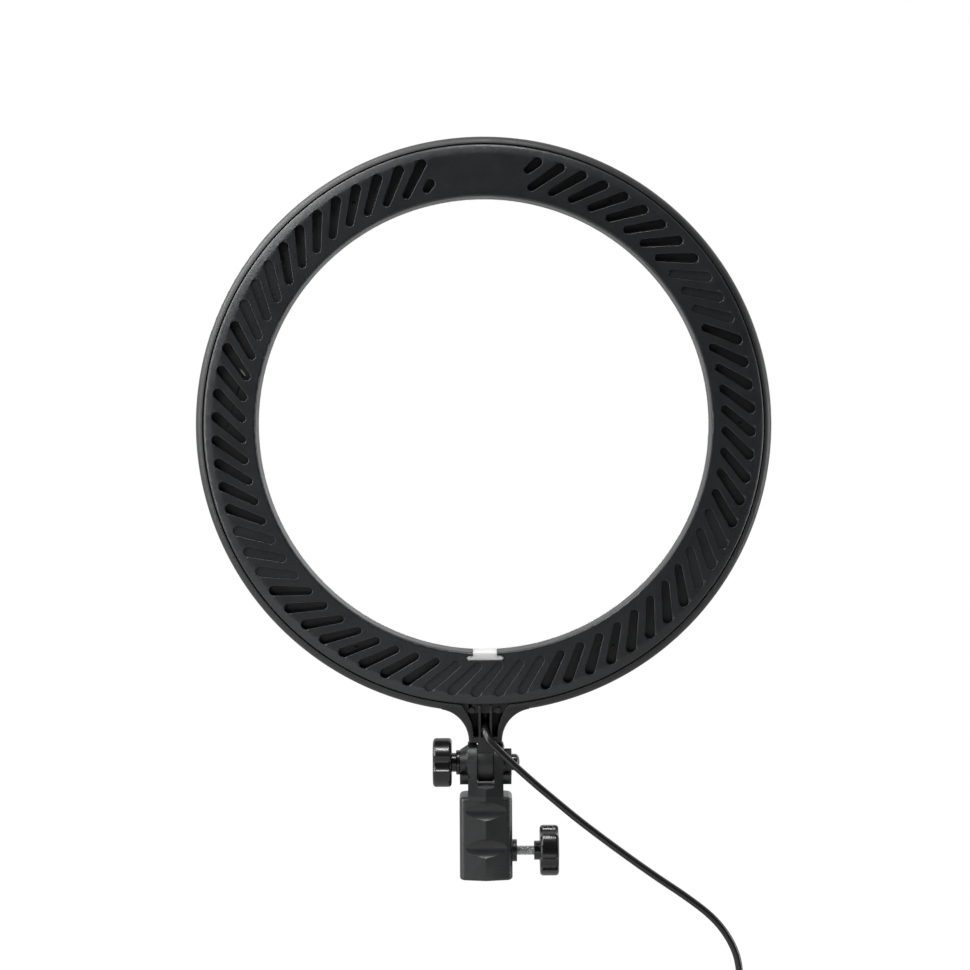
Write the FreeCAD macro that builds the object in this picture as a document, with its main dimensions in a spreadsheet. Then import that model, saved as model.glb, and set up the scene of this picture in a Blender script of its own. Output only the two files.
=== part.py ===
import FreeCAD, Part
import math
import os
import re
import Sketcher

# LED ring light with a tilting stud bracket, in millimetres.
# The origin is the centre of the stud socket's mouth. +Z runs up the socket,
# -Y is the back of the ring (the vented side) and +Y is the way the light shines.

Vector = FreeCAD.Vector

# Every size that can be set by itself, with its cell's alias.
DRIVING = (
    # the ring
    ("ring_outer_radius", 150.0),
    ("ring_width", 31.5),
    ("ring_half_depth", 10.0),
    ("inner_wall_thickness", 1.6),
    ("outer_wall_thickness", 2.8),
    ("floor_thickness", 1.6),
    ("floor_gap", 2.2),
    ("rim_width", 4.0),
    ("rim_depth", 6.2),
    ("rim_back_step", 1.8),
    ("rim_front_taper", 0.6),
    ("parting_gap", 0.15),
    ("floor_port_radius", 3.0),
    ("inner_port_angle", 167.4),
    ("outer_port_angle", 229.3),
    # the back cover and its vents
    ("cover_thickness", 2.0),
    ("cover_chamfer", 1.2),
    ("cover_shoulder_width", 7.0),
    ("cover_collar_thickness", 1.6),
    ("cover_boss_radius", 3.4),
    ("vent_pitch_angle", 5.0),
    ("vent_first_angle", 3.1),
    ("vent_sweep_angle", 5.15),
    ("vent_outer_margin", 7.2),
    ("vent_inner_margin", 7.0),
    ("vent_outer_tip", 2.6),
    ("vent_inner_tip", 2.1),
    ("vent_bevel", 0.35),
    ("vent_blind_depth", 0.9),
    ("stub_outer_margin", 4.6),
    ("stub_inner_margin", 2.5),
    # the slot for a phone holder, at the ring's inner edge
    ("tab_slot_stem_width", 12.7),
    ("tab_slot_bar_width", 19.6),
    ("tab_slot_stem_length", 1.5),
    ("tab_slot_bar_height", 2.5),
    ("tab_slot_corner", 1.2),
    # what the ring holds
    ("board_thickness", 1.2),
    ("board_edge_gap", 0.4),
    ("case_screw_count", 6),
    ("case_screw_first_angle", 30.0),
    ("case_screw_radius", 1.25),
    ("case_screw_length", 4.0),
    ("case_screw_head_radius", 2.3),
    ("case_screw_head_height", 1.6),
    ("board_screw_radius", 1.0),
    ("board_screw_head_radius", 1.9),
    ("board_screw_head_height", 1.2),
    ("screw_clearance", 0.2),
    ("led_count", 72),
    ("led_cool_margin", 10.0),
    ("led_warm_margin", 11.2),
    ("led_length", 3.5),
    ("led_width", 2.8),
    ("led_height", 0.8),
    ("resistor_count", 12),
    ("resistor_length", 3.2),
    ("resistor_width", 1.6),
    ("resistor_height", 0.6),
    ("resistor_first_angle", 15.0),
    ("diffuser_thickness", 2.0),
    ("diffuser_skirt_thickness", 1.2),
    ("diffuser_gap", 0.2),
    ("diffuser_rounding", 1.4),
    ("diffuser_notch_width", 9.0),
    # the neck below the ring
    ("neck_half_width", 8.65),
    ("neck_height", 15.9),
    ("neck_back_inset", 0.8),
    ("neck_root_margin", 0.2),
    ("neck_fillet_radius", 16.8),
    ("neck_front_wall", 2.2),
    ("neck_floor_thickness", 3.0),
    ("neck_ear_gap", 1.6),
    ("cavity_side_radius", 26.5),
    ("cavity_bottom_half_width", 6.25),
    ("cavity_wall_overlap", 0.4),
    ("cavity_step_overlap", 1.6),
    ("rib_thickness", 1.2),
    ("rib_centre_offset", 2.9),
    ("neck_peg_radius", 1.5),
    ("neck_peg_height", 1.2),
    ("neck_peg_offset", 6.8),
    ("neck_peg_inset", 4.4),
    ("cord_entry_depth", 1.0),
    ("grommet_radius", 3.1),
    ("grommet_length", 6.2),
    ("grommet_seat_depth", 2.4),
    ("grommet_clearance", 0.1),
    # the tilting joint
    ("pivot_rise", 16.6),
    ("tongue_width", 8.1),
    ("tongue_radius", 9.9),
    ("tongue_bottom_gap", 0.6),
    ("fork_side_gap", 0.15),
    ("fork_lip_setback", 1.8),
    ("fork_lip_depth", 1.3),
    ("fork_lip_drop", 1.0),
    ("fork_ear_radius", 9.4),
    ("stem_half_width", 9.2),
    ("stem_slope_start", 0.6),
    ("stem_neck_gap", 0.4),
    ("ear_setback", 2.0),
    ("ear_step", 0.3),
    ("ear_arch_rise", 12.0),
    ("ear_thickness", 5.3),
    ("boss_end_radius", 6.6),
    ("lobe_radius", 12.2),
    ("lobe_top_drop", 5.0),
    ("lobe_width", 4.4),
    ("lobe_neck_gap", 0.35),
    ("nut_width_across_flats", 12.6),
    ("nut_thickness", 3.8),
    ("nut_cap_radius", 4.25),
    ("nut_cap_length", 4.2),
    ("bolt_radius", 2.5),
    ("shaft_clearance", 0.08),
    ("seat_clearance", 0.3),
    ("flange_radius", 6.35),
    ("flange_thickness", 2.0),
    ("friction_washer_radius", 9.2),
    ("friction_washer_thickness", 0.3),
    # the knobs
    ("knob_radius", 13.0),
    ("knob_thickness", 9.8),
    ("knob_lobes", 4),
    ("knob_scallop_radius", 6.0),
    ("knob_scallop_depth", 2.0),
    ("tilt_knob_scallop_angle", 6.0),
    ("lock_knob_scallop_angle", -23.5),
    ("knob_edge_rounding", 1.7),
    ("knob_hub_radius", 4.9),
    ("tilt_knob_hub_length", 2.3),
    ("lock_knob_hub_length", 3.0),
    ("knob_dish_radius", 6.0),
    ("knob_dish_depth", 0.8),
    ("knob_screw_depth", 8.0),
    # the stud socket
    ("stud_bore_radius", 8.15),
    ("stud_bore_depth", 38.0),
    ("socket_side_wall", 5.55),
    ("socket_ridge_wall", 5.35),
    ("socket_flank_wall", 3.25),
    ("socket_corner_width", 3.5),
    ("socket_corner_depth", 3.9),
    ("socket_height", 43.0),
    ("socket_bottom_rounding", 1.5),
    ("socket_top_rounding", 2.0),
    ("scoop_radius", 6.9),
    ("scoop_depth", 2.2),
    ("scoop_top_distance", 6.7),
    ("scoop_pitch", 19.3),
    ("lock_axis_height", 13.4),
    ("lock_boss_radius", 5.7),
    ("lock_boss_height", 2.4),
    ("lock_insert_radius", 3.6),
    ("lock_insert_setback", 1.15),
    ("lock_screw_radius", 2.5),
    ("lock_screw_setback", 0.55),
    ("lock_screw_visible_length", 9.0),
    ("screw_tip_bevel", 0.6),
    # the cord and what it carries
    ("cord_radius", 1.9),
    ("wire_radius", 0.6),
    ("wire_spacing", 1.3),
    ("connector_width", 9.0),
    ("connector_depth", 4.8),
    ("connector_height", 5.0),
    ("connector_offset", 8.2),
    ("coil_inner_radius", 14.4),
    ("coil_turn_spacing", 4.4),
    ("coil_turns_per_layer", 3),
    ("coil_layers", 4),
    ("tie_width", 12.0),
    ("tie_thickness", 1.2),
    ("tie_clearance", 0.5),
    ("controller_width", 19.0),
    ("controller_depth", 11.0),
    ("controller_length", 52.0),
    ("controller_rounding", 3.0),
    ("controller_wall", 1.4),
    ("controller_board_thickness", 1.0),
    ("controller_board_offset", 0.6),
    ("controller_board_gap", 0.3),
    ("button_radius", 3.6),
    ("button_clearance", 0.25),
    ("button_stand", 0.8),
    ("button_pitch", 11.0),
    ("button_flange_width", 0.9),
    ("button_flange_thickness", 0.8),
    ("button_flange_gap", 0.05),
    ("button_stem_radius", 1.3),
    ("button_stem_gap", 0.5),
    ("switch_size", 5.0),
    ("switch_height", 1.6),
    ("relief_length", 12.0),
    ("relief_wide_radius", 3.4),
    ("relief_narrow_radius", 2.5),
    ("plug_grip_width", 24.0),
    ("plug_grip_depth", 15.0),
    ("plug_grip_length", 27.0),
    ("plug_grip_rounding", 3.0),
    ("plug_face_thickness", 2.6),
    ("plug_face_margin", 1.2),
    ("blade_spacing", 12.7),
    ("blade_width", 6.35),
    ("blade_thickness", 1.5),
    ("blade_length", 17.0),
)

# Sizes that follow from the others.
WORKED_OUT = (
    ("socket_half_width", "stud_bore_radius + socket_side_wall"),
    ("socket_ridge_depth", "stud_bore_radius + socket_ridge_wall"),
    ("socket_flank_depth", "stud_bore_radius + socket_flank_wall"),
    ("socket_flank_half_width", "socket_half_width - socket_corner_width"),
    ("socket_side_half_depth", "socket_flank_depth - socket_corner_depth"),
    ("upper_scoop_height", "socket_height - scoop_top_distance"),
    ("lower_scoop_height", "upper_scoop_height - scoop_pitch"),
    ("scoop_reach", "sqrt(scoop_radius ^ 2 - (scoop_radius - scoop_depth) ^ 2)"),
    ("lock_boss_reach", "socket_half_width + lock_boss_height"),
    ("lock_insert_start", "stud_bore_radius + lock_insert_setback"),
    ("lock_screw_tip", "stud_bore_radius + lock_screw_setback"),
    ("pivot_height", "socket_height + pivot_rise"),
    ("fork_gap", "tongue_width + 2 * friction_washer_thickness + 2 * fork_side_gap"),
    ("fork_gap_bottom", "pivot_height - tongue_radius - tongue_bottom_gap"),
    ("nut_seat_offset", "fork_gap / 2 + ear_thickness"),
    ("lobe_inner_offset", "neck_half_width + lobe_neck_gap"),
    ("boss_reach", "lobe_inner_offset + lobe_width"),
    ("neck_bottom_height", "pivot_height + fork_ear_radius + neck_ear_gap"),
    ("ring_centre_height", "neck_bottom_height + neck_height + ring_outer_radius"),
    ("ring_inner_radius", "ring_outer_radius - ring_width"),
    ("tab_slot_bar_start", "ring_inner_radius + tab_slot_stem_length"),
    ("tab_slot_bar_end", "tab_slot_bar_start + tab_slot_bar_height"),
    ("led_cool_radius", "ring_inner_radius + led_cool_margin"),
    ("led_warm_radius", "ring_outer_radius - led_warm_margin"),
    ("screw_circle_radius", "(led_cool_radius + led_warm_radius) / 2"),
    ("cover_under_plane", "ring_half_depth - cover_thickness"),
    ("floor_back_plane", "cover_under_plane - floor_gap"),
    ("floor_front_plane", "floor_back_plane - floor_thickness"),
    ("board_front_plane", "floor_front_plane - board_thickness"),
    ("diffuser_plane", "ring_half_depth - diffuser_thickness"),
    ("inner_wall_radius", "ring_inner_radius + inner_wall_thickness"),
    ("outer_wall_radius", "ring_outer_radius - outer_wall_thickness"),
    ("parting_radius", "ring_outer_radius - rim_width"),
    ("rim_back_plane", "ring_half_depth - rim_back_step"),
    ("cover_shoulder_radius", "parting_radius - cover_shoulder_width"),
    ("skirt_inner_radius", "tab_slot_bar_end + board_edge_gap"),
    ("skirt_outer_radius", "outer_wall_radius - diffuser_gap"),
    ("skirt_end_plane", "board_front_plane - diffuser_gap"),
    ("neck_half_depth", "rim_back_plane - neck_back_inset"),
    ("vent_outer_end_radius", "parting_radius - vent_outer_margin"),
    ("vent_inner_end_radius", "ring_inner_radius + vent_inner_margin"),
    ("vent_outer_x", "vent_outer_end_radius * cos(vent_first_angle)"),
    ("vent_outer_z", "vent_outer_end_radius * sin(vent_first_angle)"),
    ("vent_inner_x", "vent_inner_end_radius * cos(vent_first_angle + vent_sweep_angle)"),
    ("vent_inner_z", "vent_inner_end_radius * sin(vent_first_angle + vent_sweep_angle)"),
    ("vent_run_x", "vent_outer_x - vent_inner_x"),
    ("vent_run_z", "vent_outer_z - vent_inner_z"),
    ("vent_run", "sqrt(vent_run_x ^ 2 + vent_run_z ^ 2)"),
    ("vent_rise", "vent_outer_end_radius - vent_inner_end_radius"),
    ("stub_outer_share", "(vent_rise - stub_outer_margin) / vent_rise"),
    ("stub_inner_share", "stub_inner_margin / vent_rise"),
    ("neck_fillet_x", "neck_half_width + neck_fillet_radius"),
    ("neck_fillet_reach", "ring_outer_radius + neck_fillet_radius"),
    ("neck_fillet_z", "-sqrt(neck_fillet_reach ^ 2 - neck_fillet_x ^ 2)"),
    ("neck_tangent_x", "neck_fillet_x * ring_outer_radius / neck_fillet_reach"),
    ("neck_tangent_z", "neck_fillet_z * ring_outer_radius / neck_fillet_reach"),
    ("neck_root_radius", "outer_wall_radius + neck_root_margin"),
    ("neck_root_x", "neck_tangent_x * neck_root_radius / ring_outer_radius"),
    ("neck_root_z", "neck_tangent_z * neck_root_radius / ring_outer_radius"),
    ("neck_middle_x", "-neck_fillet_x / neck_fillet_reach - 1"),
    ("neck_middle_z", "-neck_fillet_z / neck_fillet_reach"),
    ("neck_middle_length", "sqrt(neck_middle_x ^ 2 + neck_middle_z ^ 2)"),
    ("cavity_bottom_height", "neck_bottom_height + neck_floor_thickness"),
    ("cavity_deep_top", "ring_centre_height - ring_outer_radius - cavity_wall_overlap"),
    ("cavity_step_top", "ring_centre_height - parting_radius + cavity_step_overlap"),
    ("cavity_centre_x", "cavity_bottom_half_width + cavity_side_radius"),
    ("channel_half_width", "rib_centre_offset - rib_thickness / 2"),
    ("bay_inner_x", "rib_centre_offset + rib_thickness / 2"),
    ("grommet_bottom", "cavity_deep_top - grommet_seat_depth"),
    ("grommet_top", "grommet_bottom + grommet_length"),
    ("bolt_bore_radius", "bolt_radius + shaft_clearance"),
    ("flange_face", "boss_reach + flange_thickness"),
    ("tilt_knob_face", "flange_face + tilt_knob_hub_length"),
    ("lock_bore_radius", "lock_screw_radius + shaft_clearance"),
    ("lock_hub_face", "lock_boss_reach + lock_screw_visible_length"),
    ("lock_knob_face", "lock_hub_face + lock_knob_hub_length"),
    ("coil_outer_radius", "coil_inner_radius + coil_turn_spacing * coil_turns_per_layer"),
    ("scallop_centre_radius", "knob_radius + knob_scallop_radius - knob_scallop_depth"),
)

# The cord's points, chosen by hand, from the neck to the plug.
CORD_AT_NECK = (
    (0.0, 1.0, 83.7),
    (0.0, 1.0, 80.2),
    (-0.2, -2.0, 77.4),
    (-0.3, -7.2, 76.1),
    (1.6, -11.4, 73.3),
    (5.6, -13.2, 69.0),
    (10.4, -13.8, 64.3),
    (17.0, -14.0, 58.2),
    (26.0, -13.8, 50.1),
    (36.1, -13.8, 41.6),
)
CORD_DROP = (
    (36.1, -13.8, 41.6),
    (48.2, -13.8, 31.42),
    (66.0, -13.5, 17.8),
    (86.5, -13.2, 2.9),
    (104.0, -12.9, -8.8),
    (117.8, -12.6, -19.6),
    (126.4, -12.3, -31.2),
    (131.0, -12.0, -43.6),
    (131.0, -12.0, -52.8),
)
CORD_LINK = (
    (131.0, -12.0, -128.8),
    (131.0, -12.0, -133.8),
    (131.6, -14.6, -139.8),
    (132.2, -17.6, -146.2),
    (132.4, -18.6, -153.2),
    (132.4, -18.6, -160.8),
)
CORD_TAIL = (
    (132.4, -5.4, -160.8),
    (132.4, -5.4, -164.8),
    (132.0, -6.2, -170.2),
    (131.8, -7.0, -175.4),
    (131.8, -7.0, -179.8),
)
STRAIGHT_SHARE = 0.45

doc = FreeCAD.newDocument("RingLight")
sizes = doc.addObject("Spreadsheet::Sheet", "Sizes")
workings = doc.addObject("Spreadsheet::Sheet", "Workings")
pieces = []


def linked(expression):
    """The expression with each alias spelled as the sheet's cell."""
    return re.sub(r"\b[a-z]+(?:_[a-z]+)+\b", r"Sizes.\g<0>", expression)


def fill_sheet():
    for row, (alias, value) in enumerate(DRIVING, start=1):
        sizes.set("A%d" % row, str(value))
        sizes.setAlias("A%d" % row, alias)
    for row, (alias, formula) in enumerate(WORKED_OUT, start=1):
        sizes.set("C%d" % row, "=" + formula)
        sizes.setAlias("C%d" % row, alias)
    doc.recompute()


def amount(expression):
    """The value of an expression of cells, as a number."""
    workings.set("A1", "=" + linked(expression))
    workings.recompute()
    return float(workings.get("A1"))


def bind(feature, prop, expression):
    feature.setExpression(prop, linked(expression))


def place(feature, x="0", y="0", z="0"):
    for axis, expression in zip("xyz", (x, y, z)):
        bind(feature, "Placement.Base." + axis, expression)
    return feature


def finished(feature, name):
    """Marks a feature as a sub-part."""
    feature.Label = name
    pieces.append(feature)
    return feature


# Sketches: every corner is held by two bound distances from the origin.


def new_body(name, x="0", y="0", z="0"):
    body = doc.addObject("PartDesign::Body", name)
    place(body, x, y, z)
    return body


def new_sketch(body, plane, offset="0", turn=None):
    sketch = body.newObject("Sketcher::SketchObject", body.Name + "Sketch")
    role = plane + "_Plane"
    support = [f for f in body.Origin.OriginFeatures if f.Role == role][0]
    sketch.AttachmentSupport = [(support, "")]
    sketch.MapMode = "FlatFace"
    if turn:
        sketch.AttachmentOffset = FreeCAD.Placement(Vector(), Vector(0, 0, 1), 1)
        bind(sketch, "AttachmentOffset.Rotation.Angle", turn)
    bind(sketch, "AttachmentOffset.Base.z", offset)
    return sketch


def hold(sketch, kind, constraint, expression):
    index = sketch.addConstraint(Sketcher.Constraint(kind, *constraint, amount(expression)))
    sketch.setExpression("Constraints[%d]" % index, linked(expression))


def pin(sketch, geometry, vertex, x, y):
    hold(sketch, "DistanceX", (-1, 1, geometry, vertex), x)
    hold(sketch, "DistanceY", (-1, 1, geometry, vertex), y)


def disc(sketch, x, y, radius):
    centre = Vector(amount(x), amount(y), 0)
    circle = sketch.addGeometry(Part.Circle(centre, Vector(0, 0, 1), amount(radius)), False)
    hold(sketch, "Radius", (circle,), radius)
    pin(sketch, circle, 3, x, y)


def outline(sketch, *stations):
    """A closed outline of (x, y) corners. A ("via", x, y) between two makes an arc."""
    corners = [s for s in stations if len(s) == 2]
    middles = {}
    seen = 0
    for station in stations:
        if len(station) == 2:
            seen += 1
        else:
            middles[seen - 1] = station[1:]
    spots = [Vector(amount(x), amount(y), 0) for x, y in corners]
    edges = []
    for index, start in enumerate(spots):
        end = spots[(index + 1) % len(spots)]
        if index not in middles:
            edge = sketch.addGeometry(Part.LineSegment(start, end), False)
            edges.append((edge, 1, 2))
            continue
        x, y = middles[index]
        arc = Part.Arc(start, Vector(amount(x), amount(y), 0), end)
        edge = sketch.addGeometry(arc, False)
        forward = sketch.getPoint(edge, 1).distanceToPoint(start) < 1e-6
        edges.append((edge, 1, 2) if forward else (edge, 2, 1))
    for index, (edge, first, last) in enumerate(edges):
        following, its_first, its_last = edges[(index + 1) % len(edges)]
        sketch.addConstraint(Sketcher.Constraint("Coincident", edge, last, following, its_first))
        pin(sketch, edge, first, *corners[index])
        if index in middles:
            x, y = middles[index]
            point = sketch.addGeometry(Part.Point(Vector(amount(x), amount(y), 0)), True)
            pin(sketch, point, 1, x, y)
            sketch.addConstraint(Sketcher.Constraint("PointOnObject", point, 1, edge))


def rectangle(sketch, left, bottom, right, top):
    outline(sketch, (left, bottom), (right, bottom), (right, top), (left, top))


# Features of a body.


def pad(body, sketch, length, both_ways=False, backwards=False):
    feature = body.newObject("PartDesign::Pad", body.Name + "Pad")
    feature.Profile = sketch
    feature.SideType = "Symmetric" if both_ways else "One side"
    feature.Reversed = backwards
    bind(feature, "Length", length)
    return feature


def pocket(body, sketch, length=None, both_ways=False, backwards=False, taper=None):
    feature = body.newObject("PartDesign::Pocket", body.Name + "Pocket")
    feature.Profile = sketch
    feature.SideType = "Symmetric" if both_ways else "One side"
    feature.Reversed = backwards
    if length:
        bind(feature, "Length", length)
    else:
        feature.Type = "ThroughAll"
    if taper:
        feature.TaperAngle = taper
    return feature


def revolve(body, sketch):
    """Turns a section drawn on the XY plane about the body's Y axis."""
    feature = body.newObject("PartDesign::Revolution", body.Name + "Turned")
    feature.Profile = sketch
    feature.ReferenceAxis = (sketch, ["V_Axis"])
    feature.Angle = 360
    return feature


def around(body, features, sketch, count, step):
    """Repeats features about the sketch's normal, each a step further round."""
    pattern = body.newObject("PartDesign::PolarPattern", body.Name + "Pattern")
    pattern.Originals = features
    pattern.Axis = (sketch, ["N_Axis"])
    pattern.Mode = "Spacing"
    bind(pattern, "Offset", step)
    bind(pattern, "Occurrences", count)
    body.Tip = pattern
    return pattern


def edges_where(feature, test):
    doc.recompute()
    edges = feature.Shape.Edges
    return ["Edge%d" % (n + 1) for n, edge in enumerate(edges) if test(edge)]


def soften(body, feature, test, size, kind="Fillet"):
    rounding = body.newObject("PartDesign::" + kind, body.Name + kind)
    rounding.Base = (feature, edges_where(feature, test))
    bind(rounding, "Radius" if kind == "Fillet" else "Size", size)
    return rounding


def flat_at(edge, axis, level):
    """Whether an edge lies wholly at one height of an axis."""
    box = edge.BoundBox
    low, high = getattr(box, axis + "Min"), getattr(box, axis + "Max")
    return abs(low - level) < 1e-3 and abs(high - level) < 1e-3


# Primitives and booleans.

ALONG_X = FreeCAD.Rotation(Vector(0, 1, 0), 90)
ALONG_MINUS_X = FreeCAD.Rotation(Vector(0, 1, 0), -90)
ALONG_Y = FreeCAD.Rotation(Vector(1, 0, 0), -90)
ALONG_MINUS_Y = FreeCAD.Rotation(Vector(1, 0, 0), 90)


def primitive(kind, name, turn, spot, **measures):
    feature = doc.addObject("Part::" + kind, name)
    if turn:
        feature.Placement = FreeCAD.Placement(Vector(), turn)
    for prop, expression in measures.items():
        bind(feature, prop, expression)
    return place(feature, *spot)


def rod(name, turn, spot, radius, length):
    return primitive("Cylinder", name, turn, spot, Radius=radius, Height=length)


def cone(name, turn, spot, start_radius, end_radius, length):
    return primitive("Cone", name, turn, spot,
                     Radius1=start_radius, Radius2=end_radius, Height=length)


def block(name, spot, x, y, z):
    return primitive("Box", name, None, spot, Length=x, Width=y, Height=z)


def cut(name, base, tool):
    feature = doc.addObject("Part::Cut", name)
    feature.Base = base
    feature.Tool = tool
    return feature


def fuse(name, *shapes):
    feature = doc.addObject("Part::MultiFuse", name)
    feature.Shapes = list(shapes)
    return feature


def common(name, *shapes):
    feature = doc.addObject("Part::MultiCommon", name)
    feature.Shapes = list(shapes)
    return feature


def solid_feature(name, shape):
    feature = doc.addObject("Part::Feature", name)
    feature.Shape = shape
    return finished(feature, name)


# The ring: its housing, back cover and diffuser share one centre.


def ring_body(name):
    return new_body(name, z="ring_centre_height")


def tab_slot(sketch):
    """The T-shaped slot at the bottom of the ring's inner edge."""
    stem = "tab_slot_stem_width / 2"
    bar = "tab_slot_bar_width / 2"
    near, far = "-tab_slot_bar_start", "-tab_slot_bar_end"
    inside = "-ring_inner_radius + inner_wall_thickness"
    middle = "-(tab_slot_bar_start + tab_slot_bar_end) / 2"
    outline(
        sketch,
        ("-" + stem, inside), ("-" + stem, near), ("-%s + tab_slot_corner" % bar, near),
        ("via", "-" + bar, middle),
        ("-%s + tab_slot_corner" % bar, far), ("%s - tab_slot_corner" % bar, far),
        ("via", bar, middle),
        ("%s - tab_slot_corner" % bar, near), (stem, near), (stem, inside),
    )


def housing_section(sketch):
    inner, web = "ring_inner_radius", "inner_wall_radius"
    outer, wall = "ring_outer_radius", "outer_wall_radius"
    lip = "parting_radius + parting_gap"
    rim_end = "-rim_back_plane + rim_depth"
    front = "diffuser_plane - diffuser_gap"
    outline(
        sketch,
        (inner, "-cover_under_plane"), (web, "-cover_under_plane"),
        (web, "-floor_back_plane"), (lip, "-floor_back_plane"), (lip, "-rim_back_plane"),
        ("via", "ring_outer_radius - 0.22 * rim_width", "-rim_back_plane + 0.3 * rim_depth"),
        (outer, rim_end), (outer, "diffuser_plane / 2"),
        (outer + " - rim_front_taper", front), (wall, front),
        (wall, "-floor_front_plane"), (web, "-floor_front_plane"),
        (web, front), (inner, front),
    )


def neck_outline(sketch):
    side, bottom = "neck_half_width", "neck_bottom_height - ring_centre_height"
    via_x = "neck_fillet_x + neck_fillet_radius * neck_middle_x / neck_middle_length"
    via_z = "neck_fillet_z + neck_fillet_radius * neck_middle_z / neck_middle_length"
    outline(
        sketch,
        ("-neck_tangent_x", "neck_tangent_z"), ("via", "-(%s)" % via_x, via_z),
        ("-" + side, "neck_fillet_z"), ("-" + side, bottom),
        (side, bottom), (side, "neck_fillet_z"), ("via", via_x, via_z),
        ("neck_tangent_x", "neck_tangent_z"), ("neck_root_x", "neck_root_z"),
        ("via", "0", "-neck_root_radius"), ("-neck_root_x", "neck_root_z"),
    )


def cavity_side(height):
    """How far the cavity's side stands from the middle at a height."""
    rise = "(%s - cavity_bottom_height)" % height
    return "(cavity_centre_x - sqrt(cavity_side_radius ^ 2 - %s ^ 2))" % rise


def neck_bays(sketch, top):
    """The three bays of the neck's open back, parted by two ribs."""
    down = "cavity_bottom_height - ring_centre_height"
    up = "%s - ring_centre_height" % top
    middle = "((%s + cavity_bottom_height) / 2)" % top
    middle_z = "%s - ring_centre_height" % middle
    for sign in ("-", ""):
        outline(
            sketch,
            (sign + "bay_inner_x", down), (sign + "cavity_bottom_half_width", down),
            ("via", sign + cavity_side(middle), middle_z),
            (sign + cavity_side(top), up), (sign + "bay_inner_x", up),
        )
    rectangle(sketch, "-channel_half_width", down, "channel_half_width", up)


def make_housing():
    body = ring_body("ring_housing")
    section = new_sketch(body, "XY")
    housing_section(section)
    revolve(body, section)
    neck = new_sketch(body, "XZ")
    neck_outline(neck)
    pad(body, neck, "2 * neck_half_depth", both_ways=True)
    tongue = new_sketch(body, "YZ")
    pivot = "pivot_height - ring_centre_height"
    disc(tongue, "0", pivot, "tongue_radius")
    pad(body, tongue, "tongue_width", both_ways=True)
    root = new_sketch(body, "YZ")
    rectangle(root, "-neck_half_depth", pivot, "neck_half_depth",
              "neck_bottom_height - ring_centre_height + neck_floor_thickness / 2")
    pad(body, root, "tongue_width", both_ways=True)
    deep = new_sketch(body, "XZ", "-neck_half_depth + neck_front_wall")
    neck_bays(deep, "cavity_deep_top")
    pocket(body, deep, backwards=True)
    step = new_sketch(body, "XZ", "floor_back_plane")
    neck_bays(step, "cavity_step_top")
    pocket(body, step, backwards=True)
    entry = new_sketch(body, "XY", "grommet_bottom - 1 - ring_centre_height")
    disc(entry, "0", "cord_entry_depth", "grommet_radius + grommet_clearance")
    pocket(body, entry, "grommet_length + 3", backwards=True)
    slot = new_sketch(body, "XZ")
    tab_slot(slot)
    pocket(body, slot, both_ways=True)
    ports = new_sketch(body, "XZ")
    for radius, angle in (("led_cool_radius", "inner_port_angle"),
                          ("vent_outer_end_radius", "outer_port_angle")):
        disc(ports, "%s * cos(%s)" % (radius, angle), "%s * sin(%s)" % (radius, angle),
             "floor_port_radius")
    pocket(body, ports, backwards=True)
    screws = new_sketch(body, "XZ")
    disc(screws, "screw_circle_radius * cos(case_screw_first_angle)",
         "screw_circle_radius * sin(case_screw_first_angle)", "case_screw_radius + screw_clearance")
    disc(screws, "screw_circle_radius", "0", "board_screw_radius")
    screw_holes = pocket(body, screws, backwards=True)
    around(body, [screw_holes], screws, "case_screw_count", "360 / case_screw_count")
    bore = new_sketch(body, "YZ")
    disc(bore, "0", pivot, "bolt_bore_radius")
    pocket(body, bore, both_ways=True)
    pegs = new_sketch(body, "XZ", "floor_back_plane")
    peg_z = "cavity_step_top - neck_peg_inset - ring_centre_height"
    disc(pegs, "-neck_peg_offset", peg_z, "neck_peg_radius")
    disc(pegs, "neck_peg_offset", peg_z, "neck_peg_radius")
    pad(body, pegs, "neck_peg_height")
    return finished(body, "ring_housing")


def vent_wire(angle, grow, y, inner_share, outer_share):
    """The outline of one slanted vent, or of the part between two shares of its run."""
    inner = Vector(amount("vent_inner_x"), 0, amount("vent_inner_z"))
    run = Vector(amount("vent_run_x"), 0, amount("vent_run_z"))
    along = Vector(run).normalize()
    aside = Vector(-along.z, 0, along.x)
    near, far = inner + run * inner_share, inner + run * outer_share
    near_tip = amount("vent_inner_tip") + grow
    far_tip = amount("vent_outer_tip") + grow
    edges = [
        Part.LineSegment(far + aside * far_tip, near + aside * near_tip),
        Part.Arc(near + aside * near_tip, near - along * near_tip, near - aside * near_tip),
        Part.LineSegment(near - aside * near_tip, far - aside * far_tip),
        Part.Arc(far - aside * far_tip, far + along * far_tip, far + aside * far_tip),
    ]
    wire = Part.Wire([edge.toShape() for edge in edges])
    wire.rotate(Vector(), Vector(0, -1, 0), math.degrees(angle))
    wire.translate(Vector(0, y, amount("ring_centre_height")))
    return wire


def vent_tool(index, depth, inner_share=0.0, outer_share=1.0):
    """What one vent takes out of the cover: its opening and the bevel at its mouth."""
    angle = math.radians(amount("vent_pitch_angle") * index)
    face = -amount("ring_half_depth")
    bevel = amount("vent_bevel")
    opening = Part.Face(vent_wire(angle, 0.0, face - 1, inner_share, outer_share))
    straight = opening.extrude(Vector(0, depth + 1, 0))
    mouth = [
        vent_wire(angle, grow, y, inner_share, outer_share)
        for grow, y in ((2 * bevel, face - bevel), (0.0, face + bevel))
    ]
    return straight.fuse(Part.makeLoft(mouth, True, True)).removeSplitter()


BLIND_VENTS = (4, 5, 6, 28, 29, 30, 40, 41, 42, 51, 52, 53, 54, 55, 64, 65, 66)
BARE_PLACES = (16, 17, 18)
OUTER_STUB = 15
INNER_STUB = 19


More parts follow.
